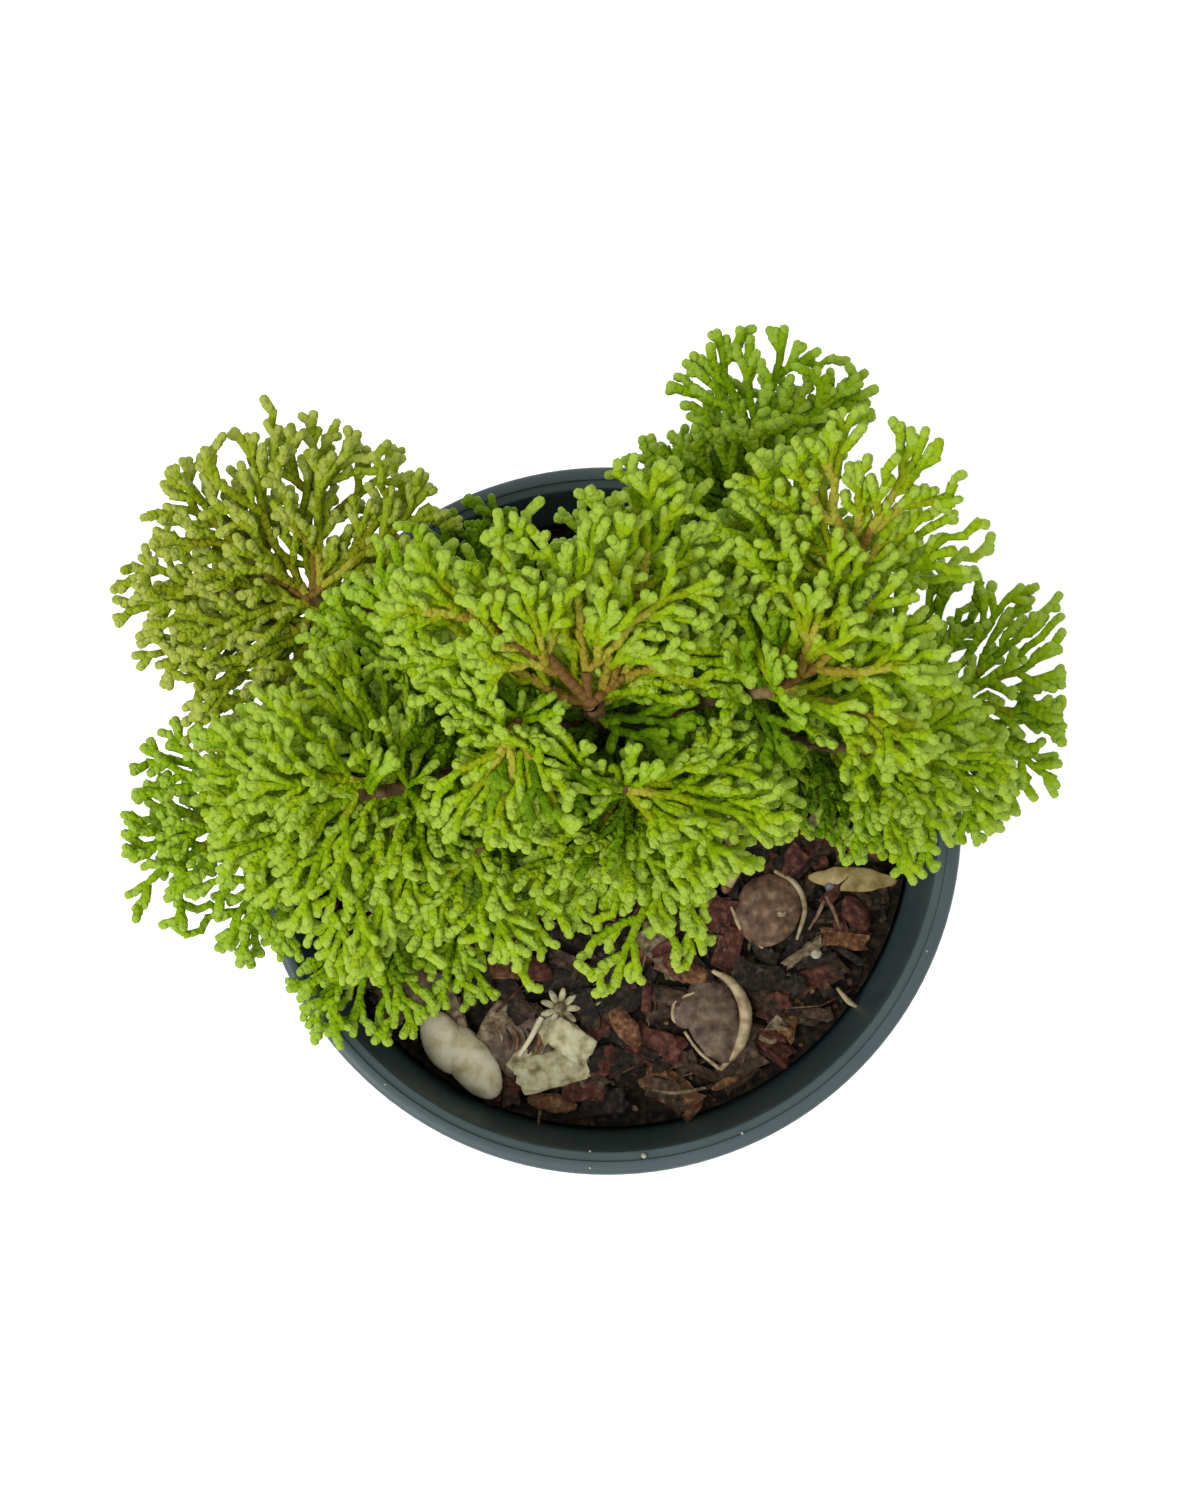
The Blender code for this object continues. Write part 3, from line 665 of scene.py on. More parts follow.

# %% [markdown]
# ## More sprays, to fill the crown
# A real mass is a few fans thick. Below each main spray grow one or two shorter ones, a little
# further back on the limb and more steeply set, and every bough has small side sprays all along
# it. They close the crown seen from the side. Two of the three under-sprays take a shaded family
# of greens, and the side sprays on the boughs and the trunk take the darkest greens: both are
# painted shade for the crown's inside.

# %% Under-sprays and side sprays
UNDER_SPRAYS = ((0.10, 14, -20, 12, 0.84), (0.20, -16, -38, -14, 0.66), (0.07, -10, 22, -10, 0.62))
OPEN = ("left_back_fan", "left_back_under", "left_low_fan", "right_low_fan")
SHADED = {"fresh": "leaf", "leaf": "leaf", "olive": "olive", "inner_shade": "inner_shade"}
chance = random.Random(404)
for index, (mass, values) in enumerate(SPRAYS.items()):
    limb, share, heading, pitch, roll, reach, spread, curl, thick, greens, age, spacing = values
    if thick < 10 or "fill" in mass:
        continue
    for layer, (back, turn, tip, lean, size) in enumerate(UNDER_SPRAYS):
        if (abs(roll) > 40 or mass in OPEN) and layer != 2:
            continue
        foot = point_along(routes[limb], max(share - back, 0.1))
        tones = greens if layer == 2 else SHADED[greens]
        sprays.append(Spray(foot, heading + turn * chance.uniform(-1.2, 1.2), pitch + tip * chance.uniform(0.7, 1.2),
                            roll + lean * chance.uniform(-1, 1), reach * size, min(spread, 62), curl, tones,
                            0.5 * age, 1.15 * spacing, 100 + 3 * index + layer))

# The side sprays on the boughs take the darkest greens, which are painted shade.
BOUGH_SHARES = (0.3, 0.42, 0.54, 0.66, 0.78, 0.9)
for order, limb in enumerate(BOUGHS):
    ahead = routes[limb][-1] - routes[limb][0]
    heading = math.degrees(math.atan2(ahead.y, ahead.x))
    for step, share in enumerate(BOUGH_SHARES):
        side = 1 if (step + order) % 2 else -1
        foot = point_along(routes[limb], share)
        sprays.append(Spray(foot, heading + side * chance.uniform(42, 85), chance.uniform(-30, 30),
                            chance.uniform(-45, 45), chance.uniform(11, 16), 46, 0, "inner_shade", 0.15, 2.6,
                            500 + 10 * order + step))
for order, limb in enumerate(BOUGHS):
    for share in (0.62, 0.8, 0.95):
        foot = point_along(routes[limb], share)
        sprays.append(Spray(foot, chance.uniform(0, 360), chance.uniform(38, 62), chance.uniform(-30, 30),
                            chance.uniform(6.5, 9.5), 60, -0.1, "leaf", 0.3, 2.1, 700 + 10 * order + round(10 * share)))
LOOSE_SPRAYS = (("bough_right_low", 0.8, 72, 12, 0, 26, 30, "leaf"), ("bough_left", 0.9, 188, -14, 0, 33, 34, "leaf"),
                ("bough_left_low", 0.9, 171, 4, 0, 33, 24, "leaf"), ("bough_left_back", 0.95, 198, -4, 0, 30, 34, "olive"),
                ("bough_right_low", 0.85, -63, -8, 0, 25.5, 30, "leaf"))
for index, (limb, share, heading, pitch, roll, reach, spread, greens) in enumerate(LOOSE_SPRAYS):
    foot = point_along(routes[limb], share)
    sprays.append(Spray(foot, heading, pitch, roll, reach, spread, -0.08, greens, 0.3, 2.3, 1100 + index))
# The sprays round the trunk take the darkest greens too, which are painted shade.
TRUNK_SPRAYS = 14
for step in range(TRUNK_SPRAYS):
    foot = trunk_axis(108 + 76 * step / TRUNK_SPRAYS)
    sprays.append(Spray(foot, 137.5 * step, chance.uniform(0, 40), chance.uniform(-40, 40),
                        chance.uniform(12, 17), 48, 0, "inner_shade", 0.15, 2.6, 900 + step))
print("sprays in all:", len(sprays))

# %% [markdown]
# ## Growing the sprays
# All the tips of a spray grow at once, one joint at a time. A tip bends a little towards the
# outside, and every second joint or so it leaves a side shoot, left and right by turns. A tip
# stops where it meets the spray's outline or where another shoot is already too near, on this
# spray or any other, so the shoots fill their fan evenly and never run through each other.

# %% The growing rule
JOINT_LENGTH = 1.34
FORK_ANGLE = math.radians(42)
STRAIGHTEN = 0.05
WANDER = math.radians(6)
ZIGZAG = 0.09
GRID = 2.8
KIN_STEPS = 4
MOST_ROUNDS = 70
ARM_SPACING = math.radians(34)
ARM_SCATTER = math.radians(6)
SIDE_VIGOUR = (1.0, 0.92, 0.85, 0.85)
SIDE_SHARE = ((0.6, 0.95), (0.5, 0.85), (0.45, 0.75), (0.4, 0.6))
FORK_STEPS = ((2, 3), (2, 2, 3), (1, 2, 2), (1, 2))
OWN_GAP_BY_RANK = (0.3, 0.85, 1, 1, 1)
OTHER_GAP_BY_RANK = (0.0, 1.1, 1.45, 1.5, 1.5)
STEEPEST = 0.6
LOW = Vector(cad_box[0]) / MM + Vector((1.1, 1.1, 1.1))
HIGH = Vector(cad_box[1]) / MM - Vector((1.1, 1.1, 1.1))
LOWEST_SHOOT = 100.5
RIM_TOP = 116.2
INSIDE_RIM = 58.5

grid = {}
joints = []


class Tip:
    """A growing point: its place on the spray, its direction, and how much it may still grow."""

    def __init__(self, u, v, lift, turn, slope, rank, left, steps, parent, line, here, age):
        self.u, self.v, self.lift = u, v, lift
        self.turn, self.slope = turn, slope
        self.rank, self.left, self.steps = rank, left, steps
        self.parent, self.line, self.here = parent, line, here
        self.age = age
        self.since = 0
        self.side = 1


def cell_of(point):
    return int(point.x // GRID), int(point.y // GRID), int(point.z // GRID)


def settle(point, spray, line, radius):
    grid.setdefault(cell_of(point), []).append((point.x, point.y, point.z, spray, line, radius))


def crowded(point, spray, kin, gap, steps, rank):
    """Whether another shoot, or the wood, is too near the point."""
    cx, cy, cz = cell_of(point)
    px, py, pz = point
    for x in (cx - 1, cx, cx + 1):
        for y in (cy - 1, cy, cy + 1):
            for z in (cz - 1, cz, cz + 1):
                for qx, qy, qz, other, line, radius in grid.get((x, y, z), ()):
                    if other == spray:
                        limit = gap * OWN_GAP_BY_RANK[rank] if kin.isdisjoint(line) else 0
                    elif other == WOOD:
                        limit = radius + 0.7 if steps > 4 and rank else 0
                    else:
                        limit = OTHER_GAP_BY_RANK[rank] if steps > 2 else 0
                    if (px - qx) ** 2 + (py - qy) ** 2 + (pz - qz) ** 2 < limit * limit:
                        return True
    return False


def in_the_open(point):
    """Inside the model's box, above the medium, and not in the pot's wall."""
    if not all(LOW[i] < point[i] < HIGH[i] for i in range(3)):
        return False
    if point.z > RIM_TOP:
        return True
    return point.z > LOWEST_SHOOT and math.hypot(point.x, point.y) < INSIDE_RIM


def step_ahead(spray, number, tip):
    """Moves a tip on by one joint, swerving if it must, and tells whether it found room."""
    chance = spray.chance
    outward = math.atan2(tip.v, tip.u) if tip.steps > 2 else tip.turn
    bend = STRAIGHTEN * (outward - tip.turn) + chance.gauss(0, WANDER)
    length = JOINT_LENGTH * chance.uniform(0.92, 1.08)
    kin = set(tip.line)
    for swerve in (0, 0.24, -0.24, 0.45, -0.45):
        turn = tip.turn + bend + swerve
        u = tip.u + length * math.cos(turn)
        v = tip.v + length * math.sin(turn)
        lift = tip.lift + length * tip.slope
        if math.hypot(u, v) > max(spray.edge(math.atan2(v, u)), 4.5):
            return False
        point = spray.place(u, v, lift)
        if in_the_open(point) and not crowded(point, number, kin, spray.spacing, tip.steps, tip.rank):
            own = len(joints)
            joints.append((tip.parent, tip.here, point, spray.up, number, tip.age))
            tip.u, tip.v, tip.lift, tip.turn = u, v, lift, turn
            tip.slope *= 0.85
            tip.left -= 1
            tip.steps += 1
            tip.since += 1
            tip.parent, tip.here = own, point
            tip.line = (own, *tip.line)[:KIN_STEPS]
            settle(point, number, tip.line, 0)
            return True
    return False


def side_shoot(spray, tip):
    """The side shoot that a tip leaves behind, on the other side from the last one."""
    chance = spray.chance
    tip.side = -tip.side
    tip.since = 0
    to_edge = (spray.edge(math.atan2(tip.v, tip.u)) - math.hypot(tip.u, tip.v)) / JOINT_LENGTH
    share = chance.uniform(*SIDE_SHARE[min(tip.rank, 3)])
    left = max(round(share * min(to_edge, tip.left)), chance.choice((1, 2, 2)))
    turn = tip.turn + tip.side * FORK_ANGLE * chance.uniform(0.85, 1.15)
    slope = max(-STEEPEST, min(STEEPEST, tip.slope + chance.gauss(0, spray.ruffle)))
    tip.turn -= tip.side * ZIGZAG
    shoot = Tip(tip.u, tip.v, tip.lift, turn, slope, tip.rank + 1, left, tip.steps, tip.parent, tip.line, tip.here, tip.age)
    shoot.side = tip.side
    return shoot


def grow(number, spray):
    """Grows one spray and lists its joints as (parent, from, to, up, spray number, age)."""
    first = (f"foot {number}",)
    arms = 1 + 2 * round(spray.spread * 0.8 / ARM_SPACING)
    tips = []
    for arm in range(arms):
        turn = spray.spread * 0.8 * (2 * arm / (arms - 1) - 1) if arms > 1 else 0
        turn += spray.chance.gauss(0, ARM_SCATTER)
        age = min(spray.age * spray.chance.uniform(0.2, 1.35), 1)
        tip = Tip(0, 0, 0, turn, spray.chance.gauss(0, spray.ruffle), 0, MOST_ROUNDS, 0, -1, first, spray.foot.copy(), age)
        tip.side = 1 if arm % 2 else -1
        tips.append(tip)
    tips.sort(key=lambda tip: abs(tip.turn))
    for _ in range(MOST_ROUNDS):
        growing = []
        for tip in tips:
            if spray.chance.random() > SIDE_VIGOUR[min(tip.rank, 3)]:
                growing.append(tip)
            elif step_ahead(spray, number, tip):
                if tip.since >= spray.chance.choice(FORK_STEPS[min(tip.rank, 3)]) and tip.rank < 4:
                    growing.append(side_shoot(spray, tip))
                if tip.left > 0:
                    growing.append(tip)
        tips = growing


WOOD = -1
for limb, route in routes.items():
    for share in np.linspace(0, 1, 48):
        place = share * (len(route) - 1)
        settle(point_along(route, share), WOOD, (), float(np.interp(place, range(len(route)), girths[limb])))
for number, spray in enumerate(sprays):
    grow(number, spray)
print("joints grown:", len(joints))

# %% [markdown]
# ## Reading the grown plant
# Two counts say how old each joint is: how many tips it carries, and how many joints lie between
# it and the nearest tip beyond it. Young joints are bright and slim, those that carry more are
# stouter and duller, and near the foot of an old spray they turn golden and then brown and bare.

# %% Loads and distances
load = [0] * len(joints)
to_tip = [99] * len(joints)
for index in range(len(joints) - 1, -1, -1):
    parent = joints[index][0]
    if load[index] == 0:
        load[index] = 1
        to_tip[index] = 0
    if parent >= 0:
        load[parent] += load[index]
        to_tip[parent] = min(to_tip[parent], to_tip[index] + 1)
print("tips:", to_tip.count(0), "largest load:", max(load))

# %% Tints of the shoots
# The first tint of each family is for the ends of the shoots. Its paler green is partly the new growth's own colour and
# partly painted highlight, and the blue in it is painted highlight.
GREENS = {
    "fresh": ((0.305, 0.425, 0.042), (0.25, 0.37, 0.006), (0.17, 0.275, 0.001)),
    "leaf": ((0.28, 0.415, 0.036), (0.215, 0.345, 0.004), (0.135, 0.245, 0.001)),
    "olive": ((0.33, 0.39, 0.06), (0.25, 0.32, 0.014), (0.17, 0.22, 0.003)),
    # The darkest family, with its old tint below, is painted shade for the sprays inside the crown.
    "inner_shade": ((0.15, 0.26, 0.006), (0.095, 0.19, 0.001), (0.058, 0.12, 0.0005)),
}
AGES = ("tip", "young", "full")
TINTS = {f"{greens}_{age}": colour for greens, colours in GREENS.items() for age, colour in zip(AGES, colours)}
for greens, colour in (("fresh", (0.225, 0.285, 0.003)), ("leaf", (0.175, 0.23, 0.002)), ("olive", (0.19, 0.205, 0.006)),
                       ("inner_shade", (0.055, 0.095, 0.001))):
    TINTS[f"{greens}_old"] = colour
TINTS["golden"] = (0.33, 0.315, 0.03)
TINTS["amber"] = (0.27, 0.215, 0.02)
TINTS["russet"] = (0.20, 0.125, 0.02)


def shoot_finish(name, colour):
    """A plain tint with the fine grain and the faint wax of scale leaves."""
    finish = new_finish(name, colour, 0.5, 0.055)
    add_gloss(finish, add_noise(finish, 0.6 * MM), 0.24, 0.48)
    add_bump(finish, add_cells(finish, 0.75 * MM), 1, 0.36 * MM)
    return finish


def lerp(low, high, share):
    return low + (high - low) * share


places = {(tint, kind): [] for tint in (*TINTS, "twig") for kind in ("chain", "end")}
shade = random.Random(7)
for index, (parent, start, end, up, number, old) in enumerate(joints):
    spray = sprays[number]
    golden_from = lerp(45, 6, old)
    russet_from = lerp(100, 18, old)
    twig_from = lerp(180, 34, old)
    ahead = end - start
    length = ahead.length
    ahead = ahead / length
    normal = (up - ahead * up.dot(ahead)).normalized()
    side = normal.cross(ahead)
    roll = shade.gauss(0, 0.35)
    normal, side = normal * math.cos(roll) + side * math.sin(roll), side * math.cos(roll) - normal * math.sin(roll)
    width = (1.86, 1.84, 1.66)[to_tip[index]] if to_tip[index] < 3 else 1.44 + 0.06 * math.log2(load[index])
    width *= shade.uniform(0.9, 1.1)
    thickness = 0.64 * width
    stretch = 1.6
    if load[index] >= twig_from:
        tint = "twig"
        width = min(0.9 + 0.14 * math.log2(load[index]), 2.0)
        thickness = width
        stretch = 1.0
    elif load[index] >= russet_from:
        tint = "russet"
    elif load[index] >= lerp(golden_from, russet_from, 0.5):
        tint = "amber"
    elif load[index] >= golden_from:
        tint = "golden"
    elif load[index] >= 0.4 * golden_from:
        tint = f"{spray.greens}_old"
    else:
        age = min(max(round((to_tip[index] + shade.uniform(-1.2, 1.2)) / 2.2), 0), 2)
        tint = f"{spray.greens}_{AGES[age]}"
    kind = "end" if to_tip[index] == 0 else "chain"
    places[tint, kind].append((start, side * width, normal * thickness, ahead * length * stretch))
print({"_".join(key): len(found) for key, found in places.items() if found})


# %% Planting the copies
def planted(name, module, found, finish):
    """Joins one copy of the module for every place into one mesh."""
    points, faces = module
    feet = np.array([place[0][:] for place in found]) * MM
    axes = np.array([[axis[:] for axis in place[1:]] for place in found]) * MM
    spots = np.einsum("vk,nki->nvi", points, axes) + feet[:, None]
    corners = (faces[None] + (np.arange(len(found)) * len(points))[:, None, None]).reshape(-1)
    mesh = bpy.data.meshes.new(name)
    mesh.vertices.add(spots.size // 3)
    mesh.vertices.foreach_set("co", spots.reshape(-1))
    mesh.loops.add(len(corners))
    mesh.loops.foreach_set("vertex_index", corners.astype(np.int32))
    mesh.polygons.add(len(corners) // 3)
    mesh.polygons.foreach_set("loop_start", np.arange(0, len(corners), 3, dtype=np.int32))
    mesh.update(calc_edges=True)
    mesh.shade_smooth()
    obj = bpy.data.objects.new(name, mesh)
    obj.data.materials.append(finish)
    bpy.context.scene.collection.objects.link(obj)
    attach(obj, "root")
    return obj


for tint, colour in TINTS.items():
    finish = shoot_finish(f"shoots_{tint}", colour)
    for kind, module in (("chain", JOINT), ("end", END_JOINT)):
        found = places[tint, kind]
        most = 195000 // len(module[1])
        for part in range(0, len(found), most):
            name = f"shoots_{tint}_{kind}_{part // most + 1}"
            planted(name, module, found[part:part + most], finish)
twig_finish = new_finish("twig_bark", (0.145, 0.075, 0.015), 0.75, 0.2)
add_bump(twig_finish, add_noise(twig_finish, 0.4 * MM), 0.6, 0.1 * MM)
twigs = planted("twigs", TWIG, places["twig", "chain"], twig_finish)
masses = [node for node in frame["nodes"] if node.startswith("foliage_")]
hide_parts(*masses)

# %% [markdown]
# ## The litter
# Shredded bark, crumbs and thin sticks lie all over the medium. They are copies of three rough
# blocks, one crumb and the twig, dealt out by a seeded draw in five browns. The large dry pieces
# and the few small things that stand out in the picture are made one by one.

# %% Finishes of the litter
def litter_finish(name, dark, middle, pale, roughness=0.8, grain=1.2):
    finish = new_finish(name, middle, roughness, 0.2)
    add_tones(finish, add_noise(finish, grain * MM, 5), ((0.3, dark), (0.52, middle), (0.75, pale)))
    add_bump(finish, add_noise(finish, 0.45 * MM, 4), 0.7, 0.2 * MM)
    return finish


LITTER = {
    "dark": litter_finish("litter_dark", (0.006, 0.005, 0.004), (0.020, 0.014, 0.010), (0.06, 0.043, 0.03)),
    "brown": litter_finish("litter_brown", (0.018, 0.011, 0.007), (0.052, 0.031, 0.018), (0.12, 0.082, 0.05)),
    "red": litter_finish("litter_red", (0.022, 0.007, 0.005), (0.075, 0.024, 0.015), (0.17, 0.075, 0.045)),
    "orange": litter_finish("litter_orange", (0.045, 0.018, 0.008), (0.14, 0.062, 0.026), (0.30, 0.17, 0.08)),
    "tan": litter_finish("litter_tan", (0.05, 0.036, 0.02), (0.16, 0.118, 0.066), (0.34, 0.27, 0.17)),
}
ivory = litter_finish("dry_ivory", (0.42, 0.34, 0.18), (0.64, 0.585, 0.40), (0.74, 0.70, 0.54), 0.45, 3)
cream = litter_finish("dry_cream", (0.15, 0.12, 0.055), (0.40, 0.37, 0.21), (0.58, 0.56, 0.40), 0.7, 2)
husk_brown = litter_finish("husk_brown", (0.045, 0.03, 0.019), (0.12, 0.083, 0.053), (0.24, 0.17, 0.115), 0.6, 2)
husk_pink = litter_finish("husk_pink", (0.05, 0.028, 0.017), (0.15, 0.085, 0.05), (0.32, 0.21, 0.14), 0.6, 2)
husk_edge = litter_finish("husk_edge", (0.20, 0.14, 0.075), (0.40, 0.31, 0.175), (0.55, 0.46, 0.31), 0.6, 2)
straw = litter_finish("straw", (0.15, 0.095, 0.02), (0.33, 0.25, 0.095), (0.48, 0.41, 0.21), 0.5, 3)
stone = litter_finish("pale_stone", (0.28, 0.24, 0.16), (0.42, 0.38, 0.28), (0.55, 0.51, 0.41), 0.6, 1)
plum = litter_finish("plum_stone", (0.05, 0.042, 0.055), (0.13, 0.115, 0.145), (0.26, 0.23, 0.26), 0.5, 1)
print("finishes of the litter:", len(LITTER) + 8)

# %% Rough blocks and crumbs
def rough_piece(kind, cuts, offset, seed):
    """A block or a crumb one unit across, roughened by a seeded draw."""
    deselect_all()
    if kind == "block":
        bpy.ops.mesh.primitive_cube_add(size=1)
    else:
        bpy.ops.mesh.primitive_ico_sphere_add(subdivisions=1, radius=0.5)
    piece = bpy.context.object
    bpy.ops.object.mode_set(mode="EDIT")
    if cuts:
        bpy.ops.mesh.subdivide(number_cuts=cuts)
    bpy.ops.transform.vertex_random(offset=offset, uniform=1, seed=seed)
    bpy.ops.mesh.quads_convert_to_tris()
    bpy.ops.object.mode_set(mode="OBJECT")
    return module_of(piece)


BLOCKS = [rough_piece("block", 2, 0.16, seed) for seed in (3, 8, 21)]
CRUMB = rough_piece("crumb", 0, 0.12, 5)
LARGE_PIECES = ((-28, -43.5, 7.5), (-12, -41.5, 7.5), (19.5, -37.5, 7.5), (30.5, -17, 7))
CHIPS = 460
CRUMBS = 1500
STICKS = 120
litter_chance = random.Random(58)


def lying(chance, x, y, size, rise, tilt):
    """The axes of a piece that lies at a place with its own heading and a slight tilt."""
    turn = (Matrix.Rotation(chance.uniform(0, math.tau), 3, "Z") @ Matrix.Rotation(chance.gauss(0, tilt), 3, "X")
            @ Matrix.Rotation(chance.gauss(0, tilt), 3, "Y"))
    width, thick, length = size
    foot = Vector((x, y, ground(x, y) + rise))
    return foot, turn.col[0] * width, turn.col[2] * thick, turn.col[1] * length


def random_place(chance, reach):
    """A place on the medium that is clear of the trunk and the large pieces."""
    while True:
        radius = (MEDIUM_RADIUS - 0.4 - reach) * math.sqrt(chance.random())
        turn = chance.uniform(0, math.tau)
        x, y = radius * math.cos(turn), radius * math.sin(turn)
        if all(math.hypot(x - px, y - py) > room for px, py, room in ((7, 12, 6 + reach), *LARGE_PIECES)):
            return x, y


chips = {}
for _ in range(CHIPS):
    length = litter_chance.uniform(2.5, 10)
    width = length * litter_chance.uniform(0.2, 0.6)
    thick = litter_chance.uniform(0.5, 1.5)
    x, y = random_place(litter_chance, length * 0.45)
    tone = litter_chance.choices(tuple(LITTER), (34, 30, 22, 7, 7))[0]
    block = litter_chance.randrange(len(BLOCKS))
    rise = 0.3 * thick + litter_chance.uniform(0, 1.1)
    chips.setdefault((tone, block), []).append(lying(litter_chance, x, y, (width, thick, length), rise, 0.2))
for (tone, block), found in chips.items():
    planted(f"chips_{tone}_{block}", BLOCKS[block], found, LITTER[tone]).data.shade_flat()
crumbs = {}
for _ in range(CRUMBS):
    x, y = random_place(litter_chance, 0.6)
    width, thick, length = (litter_chance.uniform(0.4, 1.7) for _ in range(3))
    tone = litter_chance.choices(tuple(LITTER), (40, 28, 18, 6, 8))[0]
    crumbs.setdefault(tone, []).append(lying(litter_chance, x, y, (width, thick, length), 0.3, 0.5))
for tone, found in crumbs.items():
    planted(f"crumbs_{tone}", CRUMB, found, LITTER[tone]).data.shade_flat()
sticks = {}
for _ in range(STICKS):
    length = litter_chance.uniform(3, 11)
    x, y = random_place(litter_chance, length * 0.5)
    girth = litter_chance.uniform(0.25, 0.6)
    tone = litter_chance.choice(("brown", "tan", "tan", "red"))
    sticks.setdefault(tone, []).append(lying(litter_chance, x, y, (girth, girth, length), 1.0, 0.12))
for tone, found in sticks.items():
    planted(f"sticks_{tone}", TWIG, found, LITTER[tone])
print("chips, crumbs and sticks:", CHIPS + CRUMBS + STICKS)

# %% Making the single pieces
def lump(name, x, y, size, heading, finish, rise=0, tilt=(0, 0), rough=0.25, pinch=1):
    """A flattened, slightly uneven ball: half sizes along its heading, across it and upwards."""
    deselect_all()
    bpy.ops.mesh.primitive_uv_sphere_add(segments=24, ring_count=14, radius=1, rotation=(0, math.pi / 2, 0))
    piece = bpy.context.object
    piece.name = name
    bpy.ops.object.transform_apply(location=False, rotation=True, scale=False)
    bpy.ops.object.mode_set(mode="EDIT")
    slide(piece, lambda co: abs(co.x) > 0.6, size=(1, pinch, pinch))
    bpy.ops.mesh.select_all(action="SELECT")
    bpy.ops.transform.resize(value=[half * MM for half in size], center_override=(0, 0, 0))
    bpy.ops.object.mode_set(mode="OBJECT")
    texture = bpy.data.textures.new(f"{name}_relief", "CLOUDS")
    texture.noise_scale = 2.4 * MM
    relief = piece.modifiers.new("relief", "DISPLACE")
    relief.texture = texture
    relief.texture_coords = "LOCAL"
    relief.strength = rough * min(size[1], 4) * MM
    bpy.ops.object.modifier_apply(modifier="relief")
    piece.rotation_euler = (math.radians(tilt[0]), math.radians(tilt[1]), math.radians(heading))
    piece.location = Vector((x, y, ground(x, y) + rise)) * MM
    bpy.ops.object.transform_apply(location=True, rotation=True, scale=True)
    bpy.ops.object.shade_smooth()
    piece.data.materials.append(finish)
    return piece


def slab(name, x, y, size, heading, finish, rise=0, tilt=(0, 0), seed=1, ragged=0.09):
    """A flat plate with a ragged outline, placed like a lump."""
    deselect_all()
    bpy.ops.mesh.primitive_cube_add(size=2)
    piece = bpy.context.object
    piece.name = name
    bpy.ops.object.mode_set(mode="EDIT")
    bpy.ops.mesh.subdivide(number_cuts=4, smoothness=0.35)
    bpy.ops.transform.vertex_random(offset=ragged, uniform=1, seed=seed)
    bpy.ops.mesh.select_all(action="SELECT")
    bpy.ops.transform.resize(value=[half * MM for half in size], center_override=(0, 0, 0))
    bpy.ops.object.mode_set(mode="OBJECT")
    piece.rotation_euler = (math.radians(tilt[0]), math.radians(tilt[1]), math.radians(heading))
    piece.location = Vector((x, y, ground(x, y) + rise)) * MM
    bpy.ops.object.transform_apply(location=True, rotation=True, scale=True)
    bpy.ops.object.shade_smooth_by_angle(angle=math.radians(40))
    piece.data.materials.append(finish)
    return piece


def strand(name, points, radii, finish, rise=1.0):
    """A stick, a stalk or an edge through points given on plan."""
    route = smooth_route([Vector((*point[:2], ground(*point[:2]) + (point[2] if len(point) > 2 else rise)))
                          for point in points], 6 * len(points))
    girth = np.interp(np.linspace(0, len(radii) - 1, len(route)), range(len(radii)), radii)
    piece = make_strand(name, route, girth, 10)
    bpy.ops.object.shade_smooth()
    piece.data.materials.append(finish)
    return piece


def gather(name, pieces, node=None):
    """Joins single pieces into one and hands it to the frame."""
    deselect_all()
    for piece in pieces:
        piece.select_set(True)
    bpy.context.view_layer.objects.active = pieces[0]
    if len(pieces) > 1:
        bpy.ops.object.join()
    pieces[0].name = name
    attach(pieces[0], "root")
    if node:
        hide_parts(node)
    return pieces[0]


# %% The large dry pieces
gather("pale_shell", [
    lump("shell_left", -30.7, -41.6, (6.4, 3.9, 2.6), -64, ivory, 2.2, (8, 0), 0.1),
    lump("shell_right", -25.5, -45.2, (8.2, 4.3, 2.9), -54, ivory, 2.1, (-10, 0), 0.1),
    slab("shell_husk_1", -34.2, -32.6, (5.4, 2.6, 0.5), 118, LITTER["tan"], 1.6, (24, 0), 4),
    slab("shell_husk_2", -30.0, -34.4, (5.0, 2.0, 0.5), 110, LITTER["tan"], 1.5, (-18, 0), 9),
], "mulch_pale_shell")
petals = [lump(f"petal_{step}", -8.8 + 2.3 * math.cos(math.tau * step / 9), -35.2 + 2.3 * math.sin(math.tau * step / 9),
               (1.6, 0.62, 0.3), 40 * step, cream, 2.5, (0, -14), 0.1) for step in range(9)]
gather("pale_pod", [
    slab("plate_front", -10.2, -46.6, (5.7, 3.0, 0.45), 14, cream, 2.4, (-14, 6), 11),
    slab("plate_front_left", -15.4, -45.0, (2.6, 2.0, 0.4), 48, cream, 2.0, (10, 0), 12),
    slab("plate_right", -6.9, -41.2, (3.7, 2.5, 0.4), -36, cream, 2.6, (12, 0), 13),
    slab("plate_back", -9.8, -38.9, (2.8, 2.0, 0.4), 24, cream, 2.2, (-8, 10), 14),
    slab("plate_left", -20.2, -38.2, (3.6, 2.4, 0.5), 60, LITTER["tan"], 1.8, (10, 0), 15),
    slab("pod_middle", -15.4, -41.4, (5.4, 4.0, 0.9), 40, husk_brown, 1.2, (4, 0), 16, 0.12),
    lump("daisy_middle", -8.8, -35.2, (1.1, 1.1, 0.7), 0, LITTER["tan"], 2.7, (0, 0), 0.3),
    *petals,
    *(strand(f"pod_fibre_{step}", ((-21 + 1.5 * step, -37.4 - 0.4 * step, 1.8), (-19.6 + 1.4 * step, -41.2, 2.5 + 0.1 * (step % 3)),
                                   (-19.4 + 1.0 * step, -45.0 - 0.3 * (step % 4), 1.6)), (0.2, 0.34, 0.2),
             LITTER[("tan", "brown", "orange")[step % 3]]) for step in range(7)),
    strand("pod_stick", ((-12.3, -36.9, 3.0), (-14.2, -40.6, 3.4), (-16.4, -44.0, 2.8)), (0.6, 0.5, 0.42), ivory),
    strand("pod_twig", ((-0.6, -33.6, 1.4), (-2.6, -35.2, 1.6), (-4.6, -38.6, 1.3)), (0.3, 0.45, 0.4), cream),
], "mulch_pale_pod")
